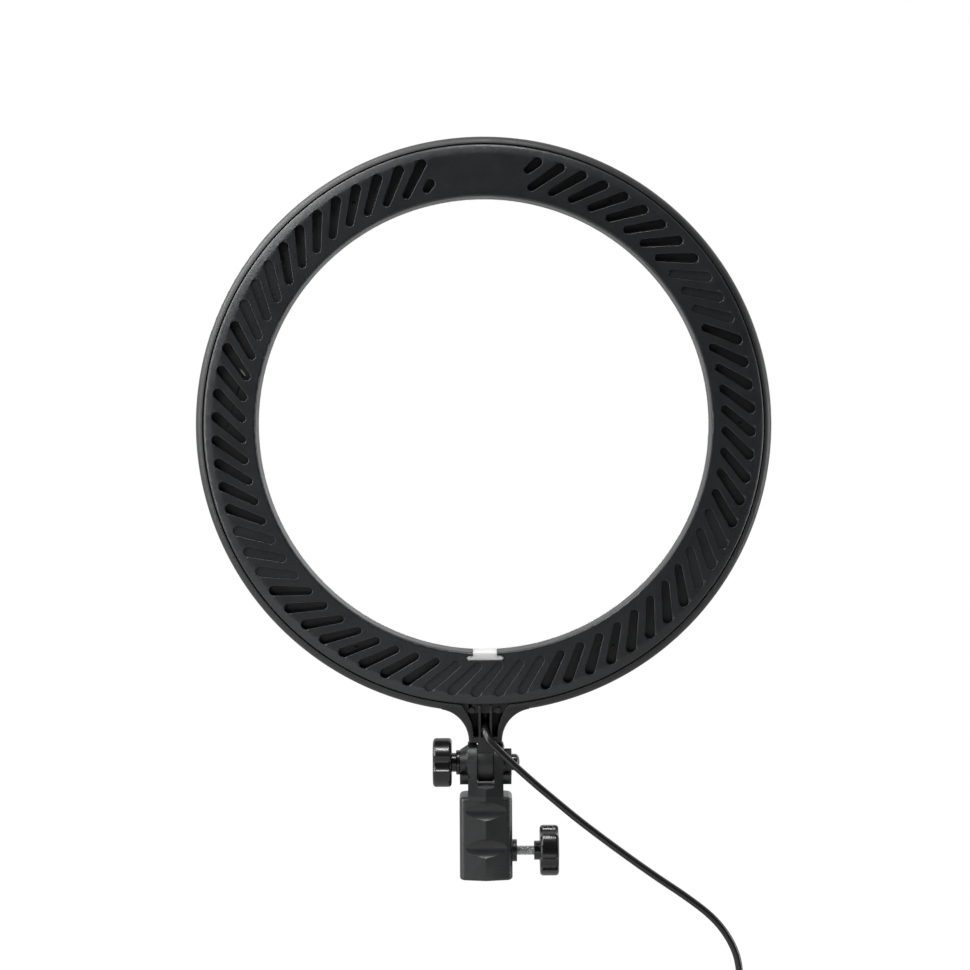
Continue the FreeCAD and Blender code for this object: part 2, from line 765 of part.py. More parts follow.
def make_vents():
    """All the vents as one tool: a run of them is broken by bare places and two stubs."""
    through = amount("ring_half_depth - floor_front_plane")
    count = int(round(360 / amount("vent_pitch_angle")))
    tools = []
    for index in range(count):
        if index in BARE_PLACES:
            continue
        depth = amount("vent_blind_depth") if index in BLIND_VENTS else through
        inner_share = amount("stub_outer_share") if index == OUTER_STUB else 0.0
        outer_share = amount("stub_inner_share") if index == INNER_STUB else 1.0
        tools.append(vent_tool(index, depth, inner_share, outer_share))
    vents = doc.addObject("Part::Feature", "Vents")
    vents.Shape = Part.makeCompound(tools)
    return vents


def make_cover():
    body = ring_body("CoverBlank")
    section = new_sketch(body, "XY")
    inner = "ring_inner_radius + parting_gap"
    edge = "parting_radius - parting_gap"
    collar = edge + " - cover_collar_thickness"
    collar_end = "-floor_back_plane - parting_gap"
    outline(
        section,
        (inner, "-cover_under_plane"), (inner, "-ring_half_depth + 0.8 * cover_chamfer"),
        (inner + " + cover_chamfer", "-ring_half_depth"),
        ("cover_shoulder_radius", "-ring_half_depth"),
        ("via", "cover_shoulder_radius + 0.6 * cover_shoulder_width",
         "-ring_half_depth + 0.32 * rim_back_step"),
        (edge, "-rim_back_plane"), (edge, collar_end),
        (collar, collar_end), (collar, "-cover_under_plane"),
    )
    revolve(body, section)
    bosses = new_sketch(body, "XZ", "floor_back_plane")
    disc(bosses, "screw_circle_radius * cos(case_screw_first_angle)",
         "screw_circle_radius * sin(case_screw_first_angle)", "cover_boss_radius")
    boss = pad(body, bosses, "floor_gap + cover_thickness / 4")
    around(body, [boss], bosses, "case_screw_count", "360 / case_screw_count")
    holes = new_sketch(body, "XZ", "floor_front_plane")
    disc(holes, "screw_circle_radius * cos(case_screw_first_angle)",
         "screw_circle_radius * sin(case_screw_first_angle)", "case_screw_radius")
    hole = pocket(body, holes, "case_screw_length", backwards=True)
    around(body, [hole], holes, "case_screw_count", "360 / case_screw_count")
    slot = new_sketch(body, "XZ")
    tab_slot(slot)
    body.Tip = pocket(body, slot, both_ways=True)
    return finished(cut("VentedCover", body, make_vents()), "rear_cover")


def make_diffuser():
    body = ring_body("diffuser")
    section = new_sketch(body, "XY")
    inner, outer = "ring_inner_radius", "ring_outer_radius - rim_front_taper"
    low, high = "skirt_inner_radius", "skirt_outer_radius"
    wall = "diffuser_skirt_thickness"
    back, front, end = "diffuser_plane", "ring_half_depth", "-skirt_end_plane"
    bend = "diffuser_rounding"
    outline(
        section,
        (inner, back), (low, back), (low, end), ("%s + %s" % (low, wall), end),
        ("%s + %s" % (low, wall), back), ("%s - %s" % (high, wall), back),
        ("%s - %s" % (high, wall), end), (high, end), (high, back), (outer, back),
        (outer, "%s - %s" % (front, bend)),
        ("via", "%s - 0.293 * %s" % (outer, bend), "%s - 0.293 * %s" % (front, bend)),
        ("%s - %s" % (outer, bend), front), ("%s + %s" % (inner, bend), front),
        ("via", "%s + 0.293 * %s" % (inner, bend), "%s - 0.293 * %s" % (front, bend)),
        (inner, "%s - %s" % (front, bend)),
    )
    revolve(body, section)
    notch = new_sketch(body, "XY", "-ring_outer_radius")
    rectangle(notch, "-diffuser_notch_width / 2", "-floor_front_plane",
              "diffuser_notch_width / 2", "cord_entry_depth + grommet_radius + diffuser_gap")
    last = pocket(body, notch, "2 * rim_width + outer_wall_thickness", backwards=True)
    body.Tip = last
    return finished(body, "diffuser")


def make_board():
    body = ring_body("led_board")
    rings = new_sketch(body, "XZ", "board_front_plane")
    disc(rings, "0", "0", "outer_wall_radius - board_edge_gap")
    disc(rings, "0", "0", "skirt_inner_radius")
    pad(body, rings, "board_thickness")
    holes = new_sketch(body, "XZ")
    disc(holes, "screw_circle_radius * cos(case_screw_first_angle)",
         "screw_circle_radius * sin(case_screw_first_angle)",
         "case_screw_head_radius + screw_clearance")
    disc(holes, "screw_circle_radius", "0", "board_screw_radius + screw_clearance")
    hole = pocket(body, holes, backwards=True)
    around(body, [hole], holes, "case_screw_count", "360 / case_screw_count")
    return finished(body, "led_board")


def ring_spot(radius, angle, y):
    """A point on the ring, from its radius, angle and place along Y."""
    height = amount("ring_centre_height")
    return Vector(radius * math.cos(angle), y, height + radius * math.sin(angle))


def ring_boxes(name, radius, count, first_angle, radial, tangential, height):
    """Small blocks on the board's front, each square to its radius."""
    front = -amount("board_front_plane")
    solids = []
    for index in range(count):
        angle = math.radians(first_angle + 360.0 / count * index)
        solid = Part.makeBox(radial, height, tangential, Vector(-radial / 2, 0, -tangential / 2))
        solid.rotate(Vector(), Vector(0, -1, 0), math.degrees(angle))
        solid.translate(ring_spot(radius, angle, front))
        solids.append(solid)
    return solid_feature(name, Part.makeCompound(solids))


def make_leds():
    count = int(amount("led_count"))
    half_step = 180.0 / count
    for name, radius, first in (("cool_leds", "led_cool_radius", 0.0),
                                ("warm_leds", "led_warm_radius", half_step)):
        ring_boxes(name, amount(radius), count, first,
                   amount("led_width"), amount("led_length"), amount("led_height"))
    ring_boxes("current_resistors", amount("screw_circle_radius"), int(amount("resistor_count")),
               amount("resistor_first_angle"), amount("resistor_width"),
               amount("resistor_length"), amount("resistor_height"))


def screw_set(name, count, first_angle, seat, head_radius, head_height, radius, length):
    """Round-headed screws on the screw circle, driven towards the back from their seat."""
    solids = []
    for index in range(count):
        angle = math.radians(first_angle + 360.0 / count * index)
        spot = ring_spot(amount("screw_circle_radius"), angle, seat)
        head = Part.makeCylinder(head_radius, head_height, spot, Vector(0, 1, 0))
        rim = [e for e in head.Edges if flat_at(e, "Y", seat + head_height)]
        head = head.makeFillet(head_height * 0.6, rim)
        recess = Part.makeCylinder(head_radius * 0.42, head_height * 0.5,
                                   spot + Vector(0, head_height * 0.5, 0), Vector(0, 1, 0))
        shank = Part.makeCylinder(radius, length, spot, Vector(0, -1, 0))
        solids.append(head.cut(recess).fuse(shank).removeSplitter())
    return solid_feature(name, Part.makeCompound(solids))


def make_screws():
    count = int(amount("case_screw_count"))
    screw_set("case_screws", count, amount("case_screw_first_angle"),
              -amount("floor_front_plane"), amount("case_screw_head_radius"),
              amount("case_screw_head_height"), amount("case_screw_radius"),
              amount("case_screw_length"))
    screw_set("board_screws", count, 0.0, -amount("board_front_plane"),
              amount("board_screw_head_radius"), amount("board_screw_head_height"),
              amount("board_screw_radius"), amount("board_thickness + floor_thickness"))


def make_cord_entry():
    """The grommet in the neck, the lead that it grips and the plug-in block on the board."""
    spot = ("0", "cord_entry_depth", "grommet_bottom")
    outer = rod("GrommetOuter", None, spot, "grommet_radius", "grommet_length")
    bore = rod("GrommetBore", None, spot, "cord_radius", "grommet_length")
    finished(cut("Grommet", outer, bore), "cord_grommet")
    finished(rod("Jacket", None, spot, "cord_radius", "grommet_length + 1"), "inner_lead")
    board_front = -amount("board_front_plane")
    width, depth = amount("connector_width"), amount("connector_depth")
    height = amount("connector_height")
    left = amount("connector_offset")
    bottom = amount("ring_centre_height - screw_circle_radius") - height / 2
    shell = Part.makeBox(width, depth, height, Vector(left, board_front, bottom))
    solid_feature("board_connector", shell)
    wires = []
    for index in (-1, 0, 1):
        x = index * amount("wire_spacing")
        y = amount("cord_entry_depth")
        z = bottom + height / 2 - index * amount("wire_spacing")
        start = Vector(x, y, amount("grommet_top + 1"))
        route = (start, Vector(x, y, z), Vector(left, y, z))
        wires.append(tube(route, amount("wire_radius"))[0])
    solid_feature("inner_wires", Part.makeCompound(wires))


# Cords.


def arc_through(start, tangent, end):
    """The arc that leaves start along a tangent and reaches end."""
    chord = end - start
    half = chord.Length / 2
    along = Vector(chord).normalize()
    aside = tangent - along * tangent.dot(along)
    if aside.Length < 1e-7:
        return Part.LineSegment(start, end)
    turn = tangent.getAngle(along)
    middle = start + chord * 0.5 + aside.normalize() * half * math.tan(turn / 2)
    return Part.Arc(start, middle, end)


def tube(points, radius):
    """A round tube of straight runs joined by tangent arcs, and its arcs' radii."""
    points = [Vector(*p) for p in points]
    edges = []
    radii = []
    here = points[0]
    for before, corner, after in zip(points, points[1:], points[2:]):
        incoming = (corner - before)
        outgoing = (after - corner)
        trim = STRAIGHT_SHARE * min(incoming.Length, outgoing.Length)
        turn = incoming.getAngle(outgoing)
        incoming.normalize()
        outgoing.normalize()
        arc_start = corner - incoming * trim
        arc_end = corner + outgoing * trim
        edges.append(Part.LineSegment(here, arc_start).toShape())
        edges.append(arc_through(arc_start, incoming, arc_end).toShape())
        radii.append(trim / math.tan(turn / 2))
        here = arc_end
    edges.append(Part.LineSegment(here, points[-1]).toShape())
    path = Part.Wire(edges)
    return swept(path, radius), path, radii


def swept(path, radius):
    first = path.Edges[0]
    direction = first.tangentAt(first.FirstParameter)
    circle = Part.Circle(path.Vertexes[0].Point, direction, radius).toShape()
    shell = Part.BRepOffsetAPI.MakePipeShell(path)
    shell.add(Part.Wire([circle]))
    shell.build()
    shell.makeSolid()
    return shell.shape()


def free_stretch(name, points):
    radius = amount("cord_radius")
    solid, path, radii = tube(points, radius)
    expected = math.pi * radius ** 2 * path.Length
    print("%s: length %.1f, tightest radius %.1f, volume is %.3f of section times length"
          % (name, path.Length, min(radii), solid.Volume / expected))
    solid_feature(name, solid)


def coil_point(turn, centre):
    """Where the coil's middle line is after a number of turns, from nine o'clock down."""
    per_layer = amount("coil_turns_per_layer")
    spacing = amount("coil_turn_spacing")
    outer = amount("coil_outer_radius")
    layers = int(amount("coil_layers"))
    phase = turn % (2 * per_layer)
    inward = phase if phase <= per_layer else 2 * per_layer - phase
    radius = outer - spacing * inward
    climbs = 0.0
    for layer in range(1, layers):
        share = min(max(turn - layer * per_layer + 0.25, 0.0) / 0.5, 1.0)
        climbs += (1 - math.cos(math.pi * share)) / 2
    y = spacing * (climbs - (layers - 1) / 2.0)
    angle = math.pi + 2 * math.pi * turn
    return centre + Vector(radius * math.cos(angle), y, radius * math.sin(angle))


def biarc(start, start_tangent, end, end_tangent):
    """Two arcs that meet smoothly, from one point and direction to another."""
    span = end - start
    both = start_tangent + end_tangent
    bend = 2 * (1 - start_tangent.dot(end_tangent))
    along = span.dot(both)
    reach = (-along + math.sqrt(along ** 2 + bend * span.dot(span))) / bend
    middle = (start + end + (start_tangent - end_tangent) * reach) * 0.5
    first = arc_through(start, start_tangent, middle)
    second = arc_through(end, end_tangent * -1, middle)
    return [first.toShape(), second.toShape()]


def make_coil():
    entry = Vector(*CORD_LINK[-1])
    layers = amount("coil_layers")
    half_pile = amount("coil_turn_spacing") * (layers - 1) / 2
    centre = entry + Vector(amount("coil_outer_radius"), half_pile, 0)
    turns = amount("coil_turns_per_layer") * layers
    quarters = int(round(turns * 4))
    step = 1e-4
    spots = []
    for index in range(quarters + 1):
        turn = index / 4.0
        here = coil_point(turn, centre)
        tangent = coil_point(turn + step, centre) - coil_point(turn - step, centre)
        if index in (0, quarters):
            tangent = Vector(0, 0, -1)
        spots.append((here, tangent.normalize()))
    edges = []
    for (start, leaving), (end, arriving) in zip(spots, spots[1:]):
        edges.extend(biarc(start, leaving, end, arriving))
    path = Part.Wire(Part.__sortEdges__(edges))
    radius = amount("cord_radius")
    solid = swept(path, radius)
    samples = [coil_point(n / 48.0, centre) for n in range(int(turns * 48) + 1)]
    least = min(
        a.distanceToPoint(b)
        for i, a in enumerate(samples) for b in samples[i + 24:]
    )
    print("cord_coil: length %.1f, least gap to itself %.2f" % (path.Length, least - 2 * radius))
    solid_feature("cord_coil", solid)
    return centre


def make_tie(centre):
    """The strap round the coil's turns at the coil's top."""
    spacing = amount("coil_turn_spacing")
    pad_by = amount("cord_radius + tie_clearance")
    inner = amount("coil_inner_radius") - pad_by
    outer = amount("coil_outer_radius") + pad_by
    half = spacing * (amount("coil_layers") - 1) / 2 + pad_by
    wall, width = amount("tie_thickness"), amount("tie_width")
    rise = outer - math.sqrt(outer ** 2 - (width / 2) ** 2)
    low = math.sqrt(inner ** 2 - (width / 2) ** 2) - rise
    corner = centre + Vector(-width / 2, -half - wall, low - wall)
    outside = Part.makeBox(width, 2 * (half + wall), outer - low + 2 * wall, corner)
    inside = Part.makeBox(width, 2 * half, outer - low, corner + Vector(0, wall, wall))
    long_edges = [e for e in outside.Edges if e.BoundBox.XLength > width - 0.01]
    rounded = outside.makeFillet(3 * wall, long_edges)
    inner_edges = [e for e in inside.Edges if e.BoundBox.XLength > width - 0.01]
    hollow = inside.makeFillet(2 * wall, inner_edges)
    solid_feature("coil_tie", rounded.cut(hollow))


# The bracket: a fork on a stud socket, with its clamping bolt and its lock screw.


def socket_outline(sketch):
    wide, flank, side = "socket_half_width", "socket_flank_half_width", "socket_side_half_depth"
    ridge, deep = "socket_ridge_depth", "socket_flank_depth"
    corner_x = "socket_half_width - 0.25 * (socket_half_width - socket_flank_half_width)"
    corner_y = "socket_flank_depth - 0.35 * (socket_flank_depth - socket_side_half_depth)"
    outline(
        sketch,
        ("0", "-" + ridge), (flank, "-" + deep),
        ("via", corner_x, "-(%s)" % corner_y), (wide, "-" + side),
        (wide, side), ("via", corner_x, corner_y), (flank, deep),
        ("0", ridge), ("-" + flank, deep),
        ("via", "-(%s)" % corner_x, corner_y), ("-" + wide, side),
        ("-" + wide, "-" + side), ("via", "-(%s)" % corner_x, "-(%s)" % corner_y),
        ("-" + flank, "-" + deep),
    )


def make_socket():
    body = new_body("Socket")
    shape = new_sketch(body, "XY")
    socket_outline(shape)
    socket = pad(body, shape, "socket_height")
    base = soften(body, socket, lambda e: flat_at(e, "Z", 0), "socket_bottom_rounding")
    top = soften(body, base, lambda e: flat_at(e, "Z", amount("socket_height")),
                 "socket_top_rounding")
    scoops = new_sketch(body, "YZ")
    for sign in ("-", ""):
        y = "%s(socket_ridge_depth + scoop_radius - scoop_depth)" % sign
        disc(scoops, y, "upper_scoop_height", "scoop_radius")
        disc(scoops, y, "lower_scoop_height", "scoop_radius")
    last = pocket(body, scoops, both_ways=True)
    body.Tip = last
    return body


def fork_lip(name, side):
    """The slope at the bottom of the fork's gap, on one face of the stem."""
    middle = "socket_ridge_depth - fork_lip_setback"
    inside = "%s(%s - fork_lip_depth)" % (side, middle)
    outside = "%s(%s + fork_lip_depth)" % (side, middle)
    lower = "fork_gap_bottom - 2 * fork_lip_drop"
    half = "fork_gap / 2"
    measures = {"Zmax": "pivot_height", "Z2max": "pivot_height",
                "Xmin": "-" + half, "Xmax": half, "X2min": "-" + half, "X2max": half}
    if side:
        measures.update(Ymin=outside, Ymax=inside, Zmin=lower, Z2min="fork_gap_bottom")
    else:
        measures.update(Ymin=inside, Ymax=outside, Zmin="fork_gap_bottom", Z2min=lower)
    return primitive("Wedge", name, None, ("0", "0", "0"), **measures)


def stem_outline(sketch, ridge):
    """A section of the stem: two flats that meet in a ridge, on the back and on the front."""
    half = "stem_half_width"
    fall = "(socket_ridge_wall - socket_flank_wall) / socket_flank_half_width"
    side = "%s - stem_half_width * %s" % (ridge, fall)
    outline(
        sketch,
        ("0", "-(%s)" % ridge), (half, "-(%s)" % side), (half, side),
        ("0", ridge), ("-" + half, side), ("-" + half, "-(%s)" % side),
    )


def make_stem():
    """The stem: as wide as the fork's cheeks, with the socket's ridge on both faces. It
    slopes back under the ears, so that the neck can swing down to either side."""
    ridge, ear = "socket_ridge_depth", "socket_ridge_depth - ear_setback"
    low, slope = "upper_scoop_height + scoop_reach", "socket_height + stem_slope_start"
    waist = "pivot_height - neck_half_depth - stem_neck_gap"
    top = "pivot_height + fork_ear_radius - ear_step"
    body = new_body("StemBody")
    foot = new_sketch(body, "XY", low)
    stem_outline(foot, ridge)
    pad(body, foot, "%s - (%s)" % (slope, low))
    start = new_sketch(body, "XY", slope)
    stem_outline(start, ridge)
    end = new_sketch(body, "XY", waist)
    stem_outline(end, ear)
    loft = body.newObject("PartDesign::AdditiveLoft", "StemSlope")
    loft.Profile = start
    loft.Sections = [end]
    loft.Ruled = True
    cheeks = new_sketch(body, "XY", waist)
    stem_outline(cheeks, ear)
    body.Tip = pad(body, cheeks, "%s - (%s)" % (top, waist))
    arch = new_body("EarArch")
    profile = new_sketch(arch, "YZ")
    wide, spring = "socket_ridge_depth + 1", "%s - ear_arch_rise" % top
    outline(
        profile,
        ("-(%s)" % wide, low), (wide, low), (wide, waist), (ear, waist), (ear, spring),
        ("via", "0", top), ("-(%s)" % ear, spring), ("-(%s)" % ear, waist),
        ("-(%s)" % wide, waist),
    )
    arch.Tip = pad(arch, profile, "4 * stem_half_width", both_ways=True)
    return common("Stem", body, arch)


def make_fork():
    stem = make_stem()
    left = cone("LeftBoss", ALONG_MINUS_X, ("-fork_gap / 2", "0", "pivot_height"),
                "fork_ear_radius", "boss_end_radius", "boss_reach - fork_gap / 2")
    right = cone("RightBoss", ALONG_X, ("fork_gap / 2", "0", "pivot_height"),
                 "fork_ear_radius", "fork_ear_radius - 0.8", "nut_seat_offset - fork_gap / 2")
    lobes = []
    for side, start in (("Left", "-boss_reach"), ("Right", "lobe_inner_offset")):
        drum = rod(side + "Drum", ALONG_X, (start, "0", "pivot_height"), "lobe_radius",
                   "boss_reach - lobe_inner_offset")
        keep = block(side + "Keep", (start, "-lobe_radius", "fork_gap_bottom"),
                     "boss_reach - lobe_inner_offset", "2 * lobe_radius",
                     "pivot_height - lobe_top_drop - fork_gap_bottom")
        lobes.append(common(side + "Lobe", drum, keep))
    inner_lobes = rod("LobeRoot", ALONG_X, ("-lobe_inner_offset - 1", "0", "pivot_height"),
                      "fork_ear_radius - 0.2", "2 * lobe_inner_offset + 2")
    root_keep = block("LobeRootKeep", ("-lobe_inner_offset - 1", "-fork_ear_radius", "fork_gap_bottom"),
                      "2 * lobe_inner_offset + 2", "2 * fork_ear_radius",
                      "pivot_height - fork_gap_bottom")
    root = common("LobeBridge", inner_lobes, root_keep)
    solid = fuse("ForkSolid", stem, left, right, root, *lobes)
    nut_room = rod("NutRoom", ALONG_X, ("nut_seat_offset", "0", "pivot_height"),
                   "nut_width_across_flats / 2 / cos(30) + 2 * seat_clearance", "boss_reach")
    flange_room = rod("FlangeRoom", ALONG_MINUS_X, ("-boss_reach", "0", "pivot_height"),
                      "flange_radius + seat_clearance", "boss_reach")
    gap = block("ForkGap", ("-fork_gap / 2", "-2 * lobe_radius", "fork_gap_bottom"),
                "fork_gap", "4 * lobe_radius", "2 * lobe_radius")
    bore = rod("PivotBore", ALONG_X, ("-2 * boss_reach", "0", "pivot_height"),
               "bolt_bore_radius", "4 * boss_reach")
    lips = [fork_lip("BackLip", "-"), fork_lip("FrontLip", "")]
    return solid, fuse("ForkCuts", nut_room, flange_room, gap, bore, *lips)


def make_bracket():
    socket = make_socket()
    fork, fork_cuts = make_fork()
    boss = rod("LockBoss", ALONG_X, ("socket_half_width - 3", "0", "lock_axis_height"),
               "lock_boss_radius", "lock_boss_reach - socket_half_width + 3")
    whole = fuse("BracketSolid", socket, fork, boss)
    bore = rod("StudBore", None, ("0", "0", "-1"), "stud_bore_radius", "stud_bore_depth + 1")
    insert = rod("InsertRoom", ALONG_X, ("lock_insert_start", "0", "lock_axis_height"),
                 "lock_insert_radius", "2 * lock_boss_reach")
    window = rod("ScrewWindow", ALONG_X, ("0", "0", "lock_axis_height"),
                 "lock_screw_radius + seat_clearance", "2 * lock_boss_reach")
    cuts = fuse("BracketCuts", bore, insert, window, fork_cuts)
    finished(cut("Bracket", whole, cuts), "stud_bracket")


def make_lock_insert():
    spot = ("lock_insert_start", "0", "lock_axis_height")
    length = "lock_boss_reach - lock_insert_start"
    outer = rod("InsertOuter", ALONG_X, spot, "lock_insert_radius", length)
    bore = rod("InsertBore", ALONG_X, spot, "lock_bore_radius", length)
    finished(cut("Insert", outer, bore), "lock_insert")


def bolt(name, tip, end, radius, height, turn, sign):
    """A plain shank with a bevelled tip, along X."""
    start = "%s%s" % (sign, tip)
    bevel = cone(name + "Tip", turn, (start, "0", height), radius + " - screw_tip_bevel",
                 radius, "screw_tip_bevel")
    shank_start = "%s(%s + screw_tip_bevel)" % (sign, tip)
    shank = rod(name + "Shank", turn, (shank_start, "0", height), radius,
                "%s - %s - screw_tip_bevel" % (end, tip))
    return fuse(name, bevel, shank)


def knob(name, x, height, hub_length, turn, screw_radius, scallop_angle, side):
    """A lobed knob with its hub. Its own Z runs from the hub out through the grip.
    One scallop lies at an angle up from the back, and side says which way its own X points."""
    body = new_body(name)
    body.Placement = FreeCAD.Placement(Vector(), turn)
    place(body, x, "0", height)
    hub = new_sketch(body, "XY")
    disc(hub, "0", "0", "knob_hub_radius")
    pad(body, hub, hub_length)
    grip_sketch = new_sketch(body, "XY", hub_length)
    disc(grip_sketch, "0", "0", "knob_radius")
    pad(body, grip_sketch, "knob_thickness")
    scallop = new_sketch(body, "XY", hub_length)
    disc(scallop, "%s scallop_centre_radius * sin(%s)" % (side, scallop_angle),
         "-scallop_centre_radius * cos(%s)" % scallop_angle, "knob_scallop_radius")
    groove = pocket(body, scallop, "knob_thickness", backwards=True)
    grip = around(body, [groove], scallop, "knob_lobes", "360 / knob_lobes")
    face = amount("%s + knob_thickness" % hub_length)
    near = amount(hub_length)

    def rim(edge):
        far_out = max(v.Point.sub(Vector(0, 0, v.Point.z)).Length for v in edge.Vertexes)
        level = flat_at(edge, "Z", face) or flat_at(edge, "Z", near)
        return level and far_out > amount("knob_hub_radius") + 1

    soften(body, grip, rim, "knob_edge_rounding")
    dish = new_sketch(body, "XY", "%s + knob_thickness - knob_dish_depth" % hub_length)
    disc(dish, "0", "0", "knob_dish_radius")
    pocket(body, dish, backwards=True)
    hole = new_sketch(body, "XY")
    disc(hole, "0", "0", screw_radius)
    last = pocket(body, hole, "%s + knob_screw_depth" % hub_length, backwards=True)
    body.Tip = last
    return body


def make_tilt_clamp():
    finished(
        bolt("TiltBolt", "-(nut_seat_offset + nut_thickness)", "tilt_knob_face + knob_screw_depth",
             "bolt_radius", "pivot_height", ALONG_MINUS_X, "-"), "tilt_bolt")
    grip = knob("TiltKnob", "-flange_face", "pivot_height", "tilt_knob_hub_length",
                ALONG_MINUS_X, "bolt_radius", "tilt_knob_scallop_angle", "+")
    finished(grip, "tilt_knob")
    spot = ("-boss_reach", "0", "pivot_height")
    outer = rod("FlangeOuter", ALONG_MINUS_X, spot, "flange_radius", "flange_thickness")
    bore = rod("FlangeBore", ALONG_MINUS_X, spot, "bolt_bore_radius", "flange_thickness")
    finished(cut("Flange", outer, bore), "bolt_flange")


def make_nut():
    body = new_body("Nut")
    body.Placement = FreeCAD.Placement(Vector(), ALONG_X)
    place(body, "nut_seat_offset", "0", "pivot_height")
    hexagon = new_sketch(body, "XY")
    corner = "(nut_width_across_flats / 2 / cos(30))"
    half = "nut_width_across_flats / 2"
    outline(hexagon, (corner, "0"), (corner + " / 2", half), ("-%s / 2" % corner, half),
            ("-" + corner, "0"), ("-%s / 2" % corner, "-" + half),
            (corner + " / 2", "-" + half))
    pad(body, hexagon, "nut_thickness")
    hole = new_sketch(body, "XY")
    disc(hole, "0", "0", "bolt_bore_radius")
    last = pocket(body, hole, both_ways=True)
    body.Tip = last
    finished(body, "tilt_nut")
    start = ("nut_seat_offset + nut_thickness", "0", "pivot_height")
    straight = rod("CapSide", ALONG_X, start, "nut_cap_radius", "nut_cap_length / 2")
    dome = primitive("Ellipsoid", "CapDome", ALONG_X,
                     ("nut_seat_offset + nut_thickness + nut_cap_length / 2", "0", "pivot_height"),
                     Radius1="nut_cap_length / 2", Radius2="nut_cap_radius",
                     Radius3="nut_cap_radius")
    finished(fuse("NutCap", straight, dome), "nut_cap")


def make_friction_washers():
    thickness = "friction_washer_thickness"
    rings = []
    for side, x in (("Left", "-fork_gap / 2"), ("Right", "fork_gap / 2 - " + thickness)):
        spot = (x, "0", "pivot_height")
        outer = rod(side + "WasherOuter", ALONG_X, spot, "friction_washer_radius", thickness)
        bore = rod(side + "WasherBore", ALONG_X, spot, "bolt_bore_radius", thickness)
        rings.append(cut(side + "Washer", outer, bore))
    pair = doc.addObject("Part::Compound", "Washers")
    pair.Links = rings
    finished(pair, "friction_washers")


def make_lock():
    make_lock_insert()
    finished(bolt("LockScrew", "lock_screw_tip", "lock_knob_face + knob_screw_depth",
                  "lock_screw_radius", "lock_axis_height", ALONG_X, ""), "lock_screw")
    grip = knob("LockKnob", "lock_hub_face", "lock_axis_height", "lock_knob_hub_length",
                ALONG_X, "lock_screw_radius", "lock_knob_scallop_angle", "-")
    finished(grip, "lock_knob")


# The controller on the cord, and the plug.


def controller_place():
    """The middle of the controller's top end, where the upper relief meets it."""
    x, y, z = CORD_DROP[-1]
    return Vector(x, y, z - amount("relief_length"))


def make_controller_case():
    top = controller_place()
    half_width, half_depth = "controller_width / 2", "controller_depth / 2"
    wall = "controller_wall"
    for name, sign in (("controller_back_case", -1), ("controller_front_case", 1)):
        body = doc.addObject("PartDesign::Body", name)
        body.Placement = FreeCAD.Placement(top, FreeCAD.Rotation())
        shape = new_sketch(body, "XZ")
        rectangle(shape, "-" + half_width, "-controller_length", half_width, "0")
        shell = pad(body, shape, half_depth, backwards=sign > 0)
        outer_y = sign * amount(half_depth)
        soften(body, shell, lambda e: flat_at(e, "Y", outer_y), "controller_rounding")
        room = new_sketch(body, "XZ")
        rectangle(room, "-%s + %s" % (half_width, wall), "-controller_length + " + wall,
                  "%s - %s" % (half_width, wall), "-" + wall)
        hollow = pocket(body, room, "%s - %s" % (half_depth, wall), backwards=sign < 0)
        body.Tip = hollow
        if sign < 0:
            holes = new_sketch(body, "XZ")
            for index in range(4):
                disc(holes, "0", button_level(index), "button_radius + button_clearance")
            body.Tip = pocket(body, holes, backwards=True)
        finished(body, name)


def button_level(index):
    return "-controller_length / 2 + button_pitch * %.1f" % (1.5 - index)


BUTTONS = ("power_button", "brighter_button", "dimmer_button", "colour_button")


def make_buttons():
    top = controller_place()
    cap_y = "%.1f - controller_depth / 2 - button_stand" % top.y
    flange_y = ("%.1f - controller_depth / 2 + controller_wall + button_flange_gap" % top.y)
    stem_y = flange_y + " + button_flange_thickness"
    switch_top = "%.1f + controller_board_offset - switch_height" % top.y
    for index, name in enumerate(BUTTONS):
        z = "%.1f + %s" % (top.z, button_level(index))
        x = "%.1f" % top.x
        cap = rod(name + "Cap", ALONG_Y, (x, cap_y, z), "button_radius",
                  "button_stand + controller_wall + 2 * button_flange_gap")
        flange = rod(name + "Flange", ALONG_Y, (x, flange_y, z),
                     "button_radius + button_flange_width", "button_flange_thickness")
        stem = rod(name + "Stem", ALONG_Y, (x, stem_y, z), "button_stem_radius",
                   "%s - button_stem_gap - (%s)" % (switch_top, stem_y))
        finished(fuse(name + "Whole", cap, flange, stem), name)


def make_controller_inside():
    top = controller_place()
    inner = "controller_length - 2 * controller_wall - 2 * controller_board_gap"
    wide = "controller_width - 2 * controller_wall - 2 * controller_board_gap"
    low = "%.1f - controller_length + controller_wall + controller_board_gap" % top.z
    board = block("ControllerBoard",
                  ("%.1f - (%s) / 2" % (top.x, wide), "%.1f + controller_board_offset" % top.y,
                   low),
                  wide, "controller_board_thickness", inner)
    finished(board, "controller_board")
    switches = []
    for index in range(4):
        z = "%.1f + %s - switch_size / 2" % (top.z, button_level(index))
        switches.append(block("Switch%d" % index,
                              ("%.1f - switch_size / 2" % top.x,
                               "%.1f + controller_board_offset - switch_height" % top.y, z),
                              "switch_size", "switch_height", "switch_size"))
    group = doc.addObject("Part::Compound", "Switches")
    group.Links = switches
    finished(group, "tact_switches")


def make_reliefs():
    top = controller_place()
    x, y = "%.1f" % top.x, "%.1f" % top.y
    above = cone("UpperRelief", None, (x, y, "%.1f" % top.z), "relief_wide_radius",
                 "relief_narrow_radius", "relief_length")
    finished(above, "upper_strain_relief")
    below = cone("LowerRelief", None,
                 (x, y, "%.1f - controller_length - relief_length" % top.z),
                 "relief_narrow_radius", "relief_wide_radius", "relief_length")
    finished(below, "lower_strain_relief")


